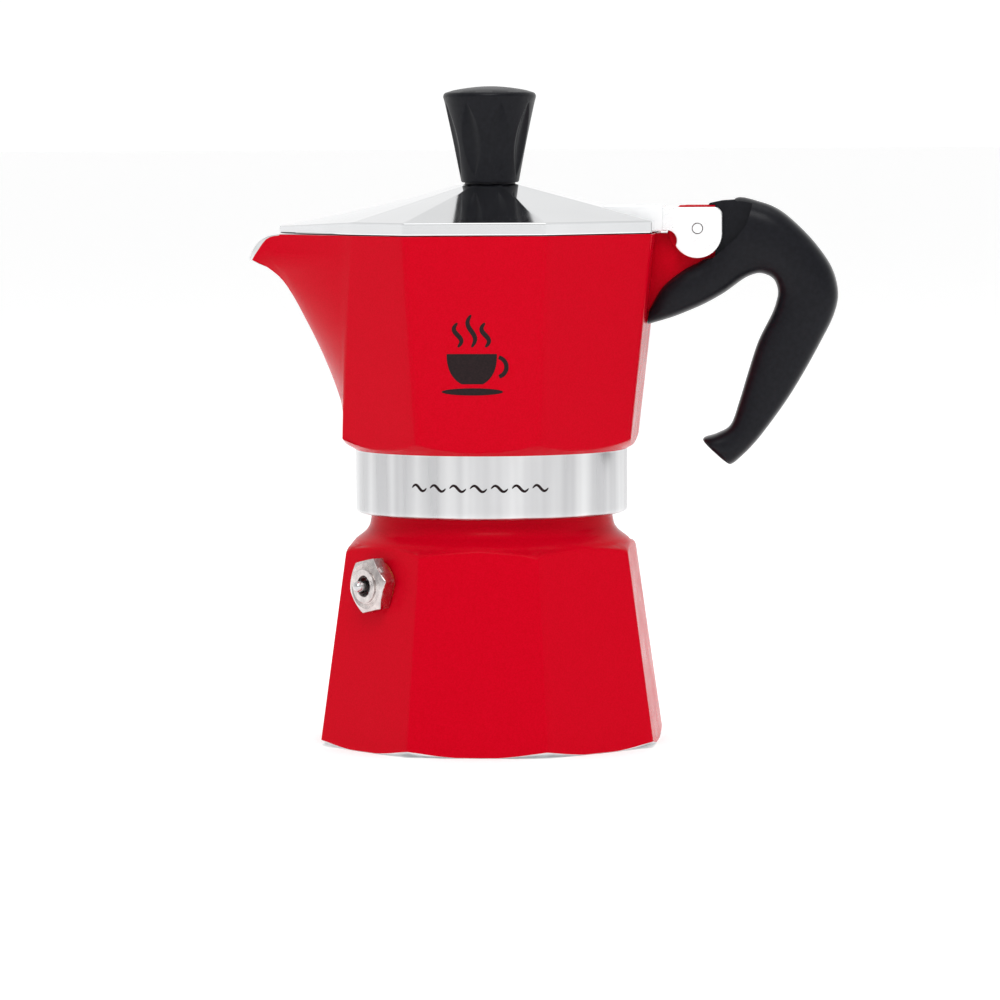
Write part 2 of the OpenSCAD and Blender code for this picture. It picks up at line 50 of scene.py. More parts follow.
def box_mm(node):
    """Lowest and highest corner of a CAD node, in millimetres."""
    low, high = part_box(node)
    return np.array(low) / MM, np.array(high) / MM


_, BOILER_HIGH = box_mm("boiler")
JUG_LOW, _ = box_mm("collector")
LID_LOW, LID_HIGH = box_mm("lid")
KNOB_LOW, KNOB_HIGH = box_mm("knob")
PIN_LOW, PIN_HIGH = box_mm("hinge_pin")
PLATE_LOW, PLATE_HIGH = box_mm("filter_plate")

# ---------------------------------------------------------------- camera

CAMERA_AZIMUTH = math.radians(5.54)
CAMERA_DISTANCE = 1.3
CAMERA_HEIGHT = 0.1542
CAMERA_PITCH = math.radians(4.11)
CAMERA_YAW = math.radians(-0.09)
CAMERA_ROLL = math.radians(-0.33)
LENS_MM = 185.4
SENSOR_MM = 36


def make_camera():
    """Long lens, a little to the handle's side and a little above the lid."""
    data = bpy.data.cameras.new("camera")
    data.lens = LENS_MM
    data.sensor_width = SENSOR_MM
    camera = bpy.data.objects.new("camera", data)
    bpy.context.scene.collection.objects.link(camera)
    heading = CAMERA_AZIMUTH + CAMERA_YAW
    forward = Vector((
        -math.sin(heading) * math.cos(CAMERA_PITCH),
        math.cos(heading) * math.cos(CAMERA_PITCH),
        -math.sin(CAMERA_PITCH),
    ))
    right = Vector((math.cos(heading), math.sin(heading), 0))
    up = right.cross(forward)
    rolled_right = right * math.cos(CAMERA_ROLL) + up * math.sin(CAMERA_ROLL)
    rolled_up = up * math.cos(CAMERA_ROLL) - right * math.sin(CAMERA_ROLL)
    turn = Matrix((rolled_right, rolled_up, -forward)).transposed().to_4x4()
    place = Vector((
        CAMERA_DISTANCE * math.sin(CAMERA_AZIMUTH),
        -CAMERA_DISTANCE * math.cos(CAMERA_AZIMUTH),
        CAMERA_HEIGHT,
    ))
    camera.matrix_world = Matrix.Translation(place) @ turn
    bpy.context.scene.camera = camera


make_camera()

# ---------------------------------------------------------------- materials


def set_stops(ramp, stops):
    """Colours or greys at positions along a colour ramp."""
    while len(ramp.elements) < len(stops):
        ramp.elements.new(0.5)
    for element, (position, value) in zip(ramp.elements, stops):
        element.position = position
        element.color = (*value, 1) if isinstance(value, tuple) else (value, value, value, 1)


class Material:
    """A Principled material with short calls for its procedural detail."""

    def __init__(self, name, color, roughness, metallic=0.0, **sockets):
        self.mat = bpy.data.materials.new(name)
        self.mat.use_nodes = True
        self.nodes = self.mat.node_tree.nodes
        self.links = self.mat.node_tree.links
        self.shader = self.nodes["Principled BSDF"]
        self.mat.diffuse_color = (*color, 1)
        self.set("Base Color", (*color, 1))
        self.set("Roughness", roughness)
        self.set("Metallic", metallic)
        for key, value in sockets.items():
            self.set(key.replace("_", " "), value)
        self.coords = self.nodes.new("ShaderNodeTexCoord").outputs["Object"]
        self.normal = None

    def set(self, socket, value):
        self.shader.inputs[socket].default_value = value

    def noise(self, scale, detail=2.0, stretch=(1, 1, 1), roughness=0.5):
        """Noise in object space; scale is in features per metre."""
        mapping = self.nodes.new("ShaderNodeMapping")
        mapping.inputs["Scale"].default_value = stretch
        self.links.new(self.coords, mapping.inputs["Vector"])
        tex = self.nodes.new("ShaderNodeTexNoise")
        tex.inputs["Scale"].default_value = scale
        tex.inputs["Detail"].default_value = detail
        tex.inputs["Roughness"].default_value = roughness
        self.links.new(mapping.outputs["Vector"], tex.inputs["Vector"])
        return tex.outputs["Fac"]

    def ramp(self, factor, stops):
        node = self.nodes.new("ShaderNodeValToRGB")
        set_stops(node.color_ramp, stops)
        self.links.new(factor, node.inputs["Fac"])
        return node.outputs["Color"]

    def vary_color(self, factor, dark, light, low=0.3, high=0.7):
        self.links.new(self.ramp(factor, [(low, dark), (high, light)]), self.shader.inputs["Base Color"])

    def vary_roughness(self, factor, low_value, high_value, low=0.3, high=0.7):
        stops = [(low, low_value), (high, high_value)]
        self.links.new(self.ramp(factor, stops), self.shader.inputs["Roughness"])

    def bump(self, factor, strength, depth):
        """Adds relief of about depth millimetres on top of what is there."""
        node = self.nodes.new("ShaderNodeBump")
        node.inputs["Strength"].default_value = strength
        node.inputs["Distance"].default_value = depth * MM
        self.links.new(factor, node.inputs["Height"])
        if self.normal is not None:
            self.links.new(self.normal, node.inputs["Normal"])
        self.normal = node.outputs["Normal"]
        self.links.new(self.normal, self.shader.inputs["Normal"])


def red_enamel():
    m = Material("red_enamel", (0.54, 0.0006, 0.010), 0.2, Specular_IOR_Level=0.10, IOR=1.24)
    m.vary_color(m.noise(2600, 2), (0.51, 0.0004, 0.008), (0.57, 0.0008, 0.013), 0.35, 0.65)
    m.vary_roughness(m.noise(120, 3), 0.17, 0.25)
    m.bump(m.noise(520, 1.5), 0.12, 0.02)
    m.bump(m.noise(4200, 1), 0.08, 0.006)
    return m.mat


def machined_aluminium():
    """Turned band, foot and rim: fine rings around the pot's axis in the relief, and upright streaks of
    painted reflection in the colour.
    """
    m = Material("machined_aluminium", (0.63, 0.63, 0.635), 0.3, 1.0)
    painted_reflection_streaks = m.noise(1, 2, (150, 150, 4))
    # Upright light and dark streaks painted into the colour stand in for reflections on the turned metal; the
    # same streaks vary the roughness.
    m.vary_color(painted_reflection_streaks, (0.52, 0.52, 0.53), (0.74, 0.745, 0.75), 0.35, 0.65)
    m.vary_roughness(painted_reflection_streaks, 0.26, 0.36)
    m.bump(m.noise(1, 3, (60, 60, 9000)), 0.04, 0.005)
    return m.mat


def polished_aluminium():
    m = Material("polished_aluminium", (0.82, 0.83, 0.84), 0.1, 1.0)
    haze = m.noise(70, 4)
    m.vary_roughness(haze, 0.07, 0.14)
    m.vary_color(m.noise(35, 2), (0.79, 0.80, 0.81), (0.85, 0.86, 0.87))
    m.bump(m.noise(1, 2, (160, 5200, 160)), 0.03, 0.004)
    m.bump(m.noise(55, 1), 0.05, 0.06)
    return m.mat


def satin_aluminium():
    """Block and ears of the lid: whiter and duller than its facets."""
    m = Material("satin_aluminium", (0.93, 0.935, 0.94), 0.3, 0.45)
    m.vary_color(m.noise(240, 3), (0.90, 0.905, 0.91), (0.96, 0.965, 0.97))
    m.vary_roughness(m.noise(180, 3), 0.24, 0.36)
    m.bump(m.noise(900, 3), 0.08, 0.01)
    return m.mat


def cast_aluminium():
    """Inside of the vessels and the chimney: as cast, slightly grainy."""
    m = Material("cast_aluminium", (0.72, 0.72, 0.71), 0.38, 1.0)
    m.vary_color(m.noise(260, 4), (0.62, 0.62, 0.61), (0.78, 0.78, 0.77))
    m.vary_roughness(m.noise(90, 3), 0.3, 0.48)
    m.bump(m.noise(1500, 3), 0.25, 0.03)
    return m.mat


def drawn_aluminium():
    """Pressed sheet: funnel, sieve and filter plate."""
    m = Material("drawn_aluminium", (0.80, 0.80, 0.80), 0.3, 1.0)
    m.vary_color(m.noise(150, 3), (0.74, 0.74, 0.74), (0.84, 0.84, 0.84))
    m.vary_roughness(m.noise(1, 2, (400, 400, 40)), 0.24, 0.38)
    m.bump(m.noise(1, 2, (900, 900, 60)), 0.12, 0.01)
    return m.mat


def black_plastic():
    m = Material("black_plastic", (0.0085, 0.0088, 0.0115), 0.33, Specular_IOR_Level=0.12)
    m.vary_color(m.noise(900, 3), (0.007, 0.0073, 0.0095), (0.010, 0.0103, 0.0135))
    m.vary_roughness(m.noise(60, 3), 0.28, 0.38)
    m.bump(m.noise(2400, 2), 0.14, 0.012)
    return m.mat


def valve_metal():
    m = Material("valve_metal", (0.62, 0.57, 0.56), 0.22, 1.0)
    m.vary_color(m.noise(700, 3), (0.50, 0.455, 0.45), (0.70, 0.65, 0.63))
    m.vary_roughness(m.noise(500, 3), 0.16, 0.3)
    m.bump(m.noise(1900, 2), 0.12, 0.012)
    return m.mat


def steel():
    m = Material("steel", (0.62, 0.62, 0.63), 0.24, 1.0)
    m.vary_color(m.noise(800, 2), (0.56, 0.56, 0.57), (0.68, 0.68, 0.69))
    m.vary_roughness(m.noise(600, 2), 0.18, 0.32)
    m.bump(m.noise(2600, 2), 0.08, 0.006)
    return m.mat


def brass():
    m = Material("brass", (0.70, 0.50, 0.22), 0.28, 1.0)
    m.vary_color(m.noise(600, 3), (0.60, 0.42, 0.18), (0.76, 0.56, 0.26))
    m.vary_roughness(m.noise(400, 2), 0.22, 0.38)
    m.bump(m.noise(2200, 2), 0.1, 0.01)
    return m.mat


def seal_rubber():
    m = Material("seal_rubber", (0.72, 0.68, 0.58), 0.62)
    m.vary_color(m.noise(300, 3), (0.66, 0.62, 0.52), (0.76, 0.72, 0.62))
    m.vary_roughness(m.noise(200, 2), 0.55, 0.72)
    m.bump(m.noise(1600, 3), 0.2, 0.02)
    return m.mat


def print_black():
    m = Material("print_black", (0.012, 0.006, 0.007), 0.42, Specular_IOR_Level=0.15)
    m.vary_color(m.noise(2000, 2), (0.009, 0.004, 0.005), (0.018, 0.008, 0.009))
    m.vary_roughness(m.noise(900, 2), 0.36, 0.48)
    m.bump(m.noise(3000, 2), 0.1, 0.006)
    return m.mat


def pale_floor():
    m = Material("pale_floor", (0.93, 0.93, 0.93), 0.7, Emission_Color=(1, 1, 1, 1), Emission_Strength=0.26)
    m.vary_roughness(m.noise(20, 2), 0.66, 0.76)
    return m.mat


ENAMEL = red_enamel()
MACHINED = machined_aluminium()
POLISHED = polished_aluminium()
SATIN = satin_aluminium()
CAST = cast_aluminium()
DRAWN = drawn_aluminium()
PLASTIC = black_plastic()
VALVE = valve_metal()
STEEL = steel()
BRASS = brass()
RUBBER = seal_rubber()
PRINT = print_black()

# ---------------------------------------------------------------- mesh tools


def smoothstep(low, high, x):
    t = np.clip((np.asarray(x, float) - low) / (high - low), 0, 1)
    return t * t * (3 - 2 * t)


def hermite(x, points):
    """Smooth curve through [x, y] points, without overshoot (monotone cubic)."""
    xs, ys = np.array(points, float).T
    slopes = np.diff(ys) / np.diff(xs)
    before, after = slopes[:-1], slopes[1:]
    same_way = before * after > 0
    inner = np.where(same_way, 2 * before * after / np.where(same_way, before + after, 1), 0)
    tangents = np.concatenate([[slopes[0]], inner, [slopes[-1]]])
    x = np.clip(x, xs[0], xs[-1])
    k = np.clip(np.searchsorted(xs, x, side="right") - 1, 0, len(xs) - 2)
    width = xs[k + 1] - xs[k]
    t = (x - xs[k]) / width
    return (
        (2 * t**3 - 3 * t**2 + 1) * ys[k]
        + (t**3 - 2 * t**2 + t) * width * tangents[k]
        + (-2 * t**3 + 3 * t**2) * ys[k + 1]
        + (t**3 - t**2) * width * tangents[k + 1]
    )


def finish_piece(obj, body, replaced=(), angle=38, weighted=True):
    """Smooth shading with true edges, then the piece joins its body."""
    obj.data.shade_smooth()
    obj.data.set_sharp_from_angle(angle=math.radians(angle))
    if weighted:
        modifier = obj.modifiers.new("face_weighted_normals", "WEIGHTED_NORMAL")
        modifier.keep_sharp = True
        modifier.weight = 60
    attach(obj, body)
    if replaced:
        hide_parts(*replaced)
    return obj


def new_object(name, mesh, materials):
    for material in materials:
        mesh.materials.append(material)
    obj = bpy.data.objects.new(name, mesh)
    bpy.context.scene.collection.objects.link(obj)
    return obj


def skin(name, grid, materials, level_material=None, ends="poles"):
    """Mesh over a (levels, columns, 3) array in millimetres, closed around the columns.

    ends is "poles" where the first and last level are single points, "loop" where the last
    level joins the first, and "caps" where both ends are closed by one face.
    level_material gives the material's index for each strip of faces, or for each face of a strip.
    """
    grid = np.asarray(grid, float)
    levels, columns, _ = grid.shape
    if level_material is not None:
        level_material = np.array([np.broadcast_to(index, columns) for index in level_material])
    strips = levels if ends == "loop" else levels - 1
    mesh = bpy.data.meshes.new(name)
    bm = bmesh.new()
    rows = []
    for k in range(levels):
        single = ends == "poles" and k in (0, levels - 1)
        if single:
            rows.append([bm.verts.new(grid[k].mean(axis=0) * MM)] * columns)
        else:
            rows.append([bm.verts.new(p * MM) for p in grid[k]])
    for k in range(strips):
        lower, upper = rows[k], rows[(k + 1) % levels]
        for i in range(columns):
            j = (i + 1) % columns
            corners = list(dict.fromkeys([lower[i], lower[j], upper[j], upper[i]]))
            if len(corners) < 3:
                continue
            face = bm.faces.new(corners)
            if level_material is not None:
                face.material_index = int(level_material[k, i])
    if ends == "caps":
        bm.faces.new(rows[0][::-1])
        bm.faces.new(rows[-1])
    bmesh.ops.recalc_face_normals(bm, faces=bm.faces)
    bm.to_mesh(mesh)
    bm.free()
    return new_object(name, mesh, materials)


def ring_of(angles, radius, z):
    """Points at these angles round the Z axis; radius and z are one value, or one for each angle."""
    radius, z = np.broadcast_to(radius, angles.shape), np.broadcast_to(z, angles.shape)
    return np.column_stack([radius * np.cos(angles), radius * np.sin(angles), z])


def bend(start, corner, end, t):
    """Point at t, from 0 to 1, on the curve that rounds off a corner."""
    return (1 - t) ** 2 * start + 2 * t * (1 - t) * corner + t**2 * end


def blend_corner(points, radius, steps=4):
    """Open line of 2-D points with its inner corners rounded by about radius."""
    points = [np.array(p, float) for p in points]
    line = [points[0]]
    for before, corner, after in zip(points, points[1:], points[2:]):
        to_before, to_after = before - corner, after - corner
        reach = min(radius, np.linalg.norm(to_before) * 0.45, np.linalg.norm(to_after) * 0.45)
        start = corner + to_before / np.linalg.norm(to_before) * reach
        end = corner + to_after / np.linalg.norm(to_after) * reach
        line += [bend(start, corner, end, t) for t in np.linspace(0, 1, steps + 1)]
    line.append(points[-1])
    return line


def plate(name, outline, y0, y1, bevel, materials):
    """Upright plate between y0 and y1 with rounded edges, from a closed outline of [x, z] points."""
    line = np.array(outline, float)
    after = np.roll(line, -1, axis=0) - line
    if np.sum(line[:, 0] * after[:, 1] - line[:, 1] * after[:, 0]) < 0:
        line = line[::-1]
        after = np.roll(line, -1, axis=0) - line
    outward = np.column_stack([after[:, 1], -after[:, 0]]) / np.linalg.norm(after, axis=1)[:, None]
    earlier = np.roll(outward, 1, axis=0)
    corner = (outward + earlier) / (1 + np.sum(outward * earlier, axis=1))[:, None]
    quarter = np.radians([0, 22.5, 45, 67.5, 90])
    rims = [(bevel * (1 - math.sin(t)), y0 + bevel * (1 - math.cos(t))) for t in quarter]
    rims += [(inset, y0 + y1 - y) for inset, y in rims[::-1]]
    rings = []
    for inset, y in rims:
        points = line - corner * inset
        rings.append(np.column_stack([points[:, 0], np.full(len(points), y), points[:, 1]]))
    return skin(name, rings, materials, ends="caps")


def cylinder_across(name, x, z, radius, y0, y1, columns=96):
    """Round cutter along Y."""
    rings = []
    for y in (y0, y1):
        rings.append([(x + a, y, z + b) for a, b in arc((0, 0), radius, 0, 360, columns)[:-1]])
    return skin(name, rings, [], ends="caps")


def cut(obj, *cutters):
    """Cuts solids out of obj for good, and removes the cutters."""
    for cutter in cutters:
        modifier = obj.modifiers.new("cut", "BOOLEAN")
        modifier.operation = "DIFFERENCE"
        modifier.solver = "EXACT"
        modifier.object = cutter
    bpy.context.view_layer.update()
    graph = bpy.context.evaluated_depsgraph_get()
    mesh = bpy.data.meshes.new_from_object(obj.evaluated_get(graph))
    obj.modifiers.clear()
    obj.data = mesh
    for cutter in cutters:
        bpy.data.objects.remove(cutter)
    return obj


def merge(name, objects, materials):
    """One object from several that share the same list of materials."""
    mesh = bpy.data.meshes.new(name)
    bm = bmesh.new()
    for obj in objects:
        bm.from_mesh(obj.data)
        bpy.data.objects.remove(obj)
    bm.to_mesh(mesh)
    bm.free()
    return new_object(name, mesh, materials)


def arc(center, radius, start, end, steps):
    """Points of an arc in degrees."""
    angles = np.radians(np.linspace(start, end, steps + 1))
    return [(center[0] + radius * math.cos(a), center[1] + radius * math.sin(a)) for a in angles]


# ---------------------------------------------------------------- boiler

OCT = math.radians(22.5)
FLAT = math.cos(OCT)
EDGE_SOFTNESS = 420
BOILER_CORNER_R = 45.5
SHOULDER_CORNER_R = 38.4
SHOULDER_Z = 48.75
FOOT_R = 42.0
FOOT_BEVEL = 2.5
NECK_R = 30.5
NECK_Z = 57.0
NECK_PAINT_Z = 58.8
NECK_BORE_R = 27.5
NECK_TOP_Z = BOILER_HIGH[2]
THREAD_PITCH = 3.0
THREAD_ROOT_R, THREAD_CREST_R = 30.15, 31.15
BOILER_FLOOR_Z = 4.0
# The turned surface that cuts off the octagon's top, as [height, radius]
SHOULDER_LINE = [
    (47.2, 41.0), (SHOULDER_Z, SHOULDER_CORNER_R), (49.9, 37.0), (50.4, 35.3), (51.3, 34.5),
    (52.3, 33.2), (53.4, 31.9), (55.0, 30.9), (NECK_Z, NECK_R),
]
# Inside of the boiler from the neck's bore down to the middle of the floor, as [radius, height]
BOILER_INSIDE = [
    (NECK_BORE_R, 58), (NECK_BORE_R, 53.2), (28.2, 51.4), (30.6, 48.6), (32.2, 46.2), (33.2, 40), (35.4, 24),
    (38.0, 9), (37.6, 6.2), (35.2, 4.5), (31, BOILER_FLOOR_Z), (15, BOILER_FLOOR_Z), (0, BOILER_FLOOR_Z),
]


def octagon_angles(per_face=36):
    """Column angles, close together near the octagon's edges."""
    angles = []
    for face in range(8):
        start = OCT + face * 2 * OCT
        t = np.arange(per_face) / per_face
        eased = t - 0.92 * np.sin(2 * math.pi * t) / (2 * math.pi)
        angles.extend(start + eased * 2 * OCT)
    return np.array(angles)


def octagon_radius(angles):
    """Radius of a slightly rounded octagon whose flats are 1 from its centre."""
    total = np.zeros_like(angles)
    for face in range(8):
        lean = np.cos(angles - face * math.pi / 4)
        total += np.where(lean > 0.5, np.maximum(lean, 0.5), 0) ** EDGE_SOFTNESS
    return total ** (-1 / EDGE_SOFTNESS)


def boiler_flat(z):
    """Distance of the boiler's flats from the axis at a height."""
    return (BOILER_CORNER_R - (BOILER_CORNER_R - SHOULDER_CORNER_R) * z / SHOULDER_Z) * FLAT


def thread(angle, z, low, high, root, crest):
    """Radius of a right-handed rounded thread that fades in and out at its ends."""
    wave = 0.5 + 0.5 * np.cos(2 * math.pi * (z / THREAD_PITCH - angle / (2 * math.pi)))
    ridge = smoothstep(0.25, 0.75, wave)
    fade = smoothstep(low, low + 1.0, z) * (1 - smoothstep(high - 0.8, high, z))
    return root + (crest - root) * ridge * fade


def meet(column_radius, profile_z, profile_r, otherwise):
    """Height at which each column passes from inside a turned profile to outside it."""
    found = np.full(len(column_radius(profile_z[0])), otherwise)
    last = column_radius(profile_z[0]) - profile_r[0]
    for z0, z1, r1 in zip(profile_z, profile_z[1:], profile_r[1:]):
        now = column_radius(z1) - r1
        crossing = (last < 0) & (now >= 0)
        share = np.where(crossing, last / np.where(crossing, last - now, 1), 0)
        found = np.where(crossing, z0 + share * (z1 - z0), found)
        last = now
    return found


def make_boiler():
    angles = octagon_angles()
    shape = octagon_radius(angles)

    def flats(z):
        return boiler_flat(z) * shape

    # Height where each column leaves the foot's bevel, and where it meets the shoulder
    slope = (BOILER_CORNER_R - SHOULDER_CORNER_R) / SHOULDER_Z * FLAT * shape
    foot_z = np.maximum((BOILER_CORNER_R * FLAT * shape - FOOT_R) / (FOOT_BEVEL + slope), 0.12)
    fine_z = np.linspace(SHOULDER_LINE[0][0], NECK_Z, 240)
    shoulder_z = meet(flats, fine_z, hermite(fine_z, SHOULDER_LINE), SHOULDER_Z)

    paint, bare, cast = 0, 1, 2
    levels, mats = [], []

    def add(radius, z, material):
        levels.append(ring_of(angles, radius, z))
        mats.append(material)

    def foot_r(z):
        return np.minimum(FOOT_R + FOOT_BEVEL * z, flats(z))

    # Flat underside, and the turned bevel that cuts off the octagon's corners
    for r in (0, 20, 34, 40):
        add(r, 0, bare)
    add(foot_r(0) - 0.12, 0, bare)
    soft = np.minimum(0.3, foot_z * 0.35)
    for share in [0.0, 0.12, 0.35, 0.6, 0.85]:
        z = 0.03 + share * (foot_z - soft - 0.03)
        add(foot_r(z), z, bare)
    # Edge between bevel and enamel, softly rounded
    low = foot_z + soft
    for t in np.linspace(0, 1, 4):
        z = foot_z + soft * (2 * t - 1)
        add(bend(foot_r(foot_z - soft), flats(foot_z), flats(low), t), z, bare if t < 1 else paint)
    high = shoulder_z - 0.5
    for share in [0.02, 0.08, 0.2, 0.35, 0.5, 0.65, 0.8, 0.92, 0.98, 1.0]:
        z = low + (high - low) * share
        add(flats(z), z, paint)
    # Rounded scalloped edge, then the turned shoulder up to the neck
    after = shoulder_z + 0.45
    for t in [0.25, 0.5, 0.75, 1.0]:
        radius = bend(flats(high), flats(shoulder_z), hermite(after, SHOULDER_LINE), t)
        add(radius, bend(high, shoulder_z, after, t), paint)
    for share in np.linspace(0.08, 1, 16):
        z = after + (NECK_Z - after) * share
        add(hermite(z, SHOULDER_LINE), z, paint)
    add(NECK_R, NECK_PAINT_Z - 0.2, paint)
    add(NECK_R - 0.25, NECK_PAINT_Z, bare)
    for z in np.arange(NECK_PAINT_Z + 0.2, NECK_TOP_Z - 0.5, 0.2):
        add(thread(angles, z, NECK_PAINT_Z, NECK_TOP_Z - 0.6, THREAD_ROOT_R, THREAD_CREST_R), z, bare)
    for r, below_top in [(29.95, 0.35), (29.6, 0), (28.0, 0), (NECK_BORE_R, 0.4)]:
        add(r, NECK_TOP_Z - below_top, bare)
    for r, z in blend_corner(BOILER_INSIDE, 0.9, 3):
        add(r, z, cast)
    boiler = skin("boiler_shell", levels, [ENAMEL, MACHINED, CAST], mats)
    return finish_piece(boiler, "boiler", ["boiler"])


# ---------------------------------------------------------------- collector

JUG_LOW_R = 39.3
JUG_LOW_Z = 77.0
JUG_TOP_R = 45.6
JUG_TOP_Z = 128.3
JUG_WALL = 2.6
BAND_R = 34.3
BAND_Z = JUG_LOW[2]
BAND_TOP_Z = 74.0
CORNER_ROUND = 1.1
SPOUT_X = -JUG_LOW[0] - 0.02
RIM_SOFT = 0.3
LIP_MARGIN = 1.8
JUG_FLOOR_Z = 79.5
SOCKET_R = 32.6
SOCKET_ROOT_R, SOCKET_CREST_R = 32.45, 31.45
SOCKET_THREAD_TOP_Z = 63.6
PLATE_SEAT_R = 29.1

# How far the spout's keel reaches from the axis at each height, outside and inside
KEEL_OUT = [(70, 35.4), (77, 36.3), (84, 37.6), (91, 40), (99, 43.3), (106.5, 47), (114, 51.1), (117, 53.3),
            (118.6, 55.1), (120.2, 57.4), (121.7, SPOUT_X), (140, SPOUT_X)]
KEEL_IN = [(70, 32.8), (77, 33.7), (84, 35), (91, 37.4), (99, 40.6), (106.5, 44.2), (114, 47.8),
           (118.6, 50.6), (120.2, 52.4), (121.7, 55.6), (123.2, SPOUT_X - 0.8), (140, SPOUT_X - 0.8)]
# How hollow the spout's sides are at each height: 1 is straight, more is hollow, less is full
POWER_OUT = [(70, 1), (84, 1.3), (110, 1.3), (117, 1.1), (121.7, 0.9), (140, 0.9)]
POWER_IN = [(70, 1), (84, 1.3), (110, 1.3), (117, 1.05), (121.7, 0.78), (140, 0.72)]
# Height of the spout's curled lip over x; the rim is flat behind it
LIP_LINE = [
    (-61.5, 121.55), (-61.2, 122.6), (-60.8, 123.6), (-60.2, 124.65), (-59.2, 125.95), (-57.2, 127.35),
    (-55.2, 128.0), (-52.6, 128.28), (-50, JUG_TOP_Z), (60, JUG_TOP_Z),
]
# The turned underside that the jug's flats run into, as [height, radius]
UNDERSIDE_LINE = [
    (BAND_TOP_Z, BAND_R), (74.3, 34.75), (74.65, 35.4), (75.1, 36.2), (77.0, 39.25), (78.6, 42.0),
]


def jug_corner_r(z):
    return JUG_LOW_R + (JUG_TOP_R - JUG_LOW_R) * (z - JUG_LOW_Z) / (JUG_TOP_Z - JUG_LOW_Z)


def spout_share(z):
    return 0.01 + 0.395 * max(0, z - JUG_LOW_Z) / (JUG_TOP_Z - JUG_LOW_Z)


def polar(radius, degrees):
    angle = math.radians(degrees)
    return np.array([radius * math.cos(angle), radius * math.sin(angle)])


def beaked_outline(radius, share, keel, power, corner=CORNER_ROUND, side_steps=22, flat_steps=9, tip=0.35):
    """2-D points, from +X round, of an octagon whose face towards -X is drawn out to a beak."""
    def flat(a, b):
        t = np.linspace(0, 1, flat_steps + 2)[1:-1]
        eased = t - 0.6 * np.sin(2 * math.pi * t) / (2 * math.pi)
        return [a + (b - a) * s for s in eased]

    def rounded(before, point, after):
        line = blend_corner([before, point, after], corner, 5)
        return line[1:-1]

    start = np.array([radius * FLAT, 0])
    corners = [polar(radius, a) for a in (22.5, 67.5, 112.5)]
    joint = polar(radius, 157.5) * (1 - share) + polar(radius, 112.5) * share
    half = [start]
    chain = [start, *corners, joint]
    for before, point, after in zip(chain, chain[1:], chain[2:]):
        around = rounded(before, point, after)
        half += flat(half[-1], around[0]) + around
    half += flat(half[-1], joint) + [joint]
    for t in 1 - np.linspace(0, 1, side_steps + 1)[1:]:
        s = t ** 1.35
        width = math.sqrt(s * s + (tip / joint[1]) ** 2) - tip / joint[1]
        half.append(np.array([-keel + (joint[0] + keel) * s**power, joint[1] * width]))
    mirrored = [p * np.array([1, -1]) for p in half[-2:0:-1]]
    return np.array(half + mirrored)


def climb(table_z, table_points, target):
    """Point of each column at its own height, from points tabled by height."""
    k = np.clip(np.searchsorted(table_z, target) - 1, 0, len(table_z) - 2)
    share = ((target - table_z[k]) / (table_z[k + 1] - table_z[k]))[:, None]
    column = np.arange(len(target))
    flat_points = table_points[k, column] * (1 - share) + table_points[k + 1, column] * share
    return np.column_stack([flat_points, target])


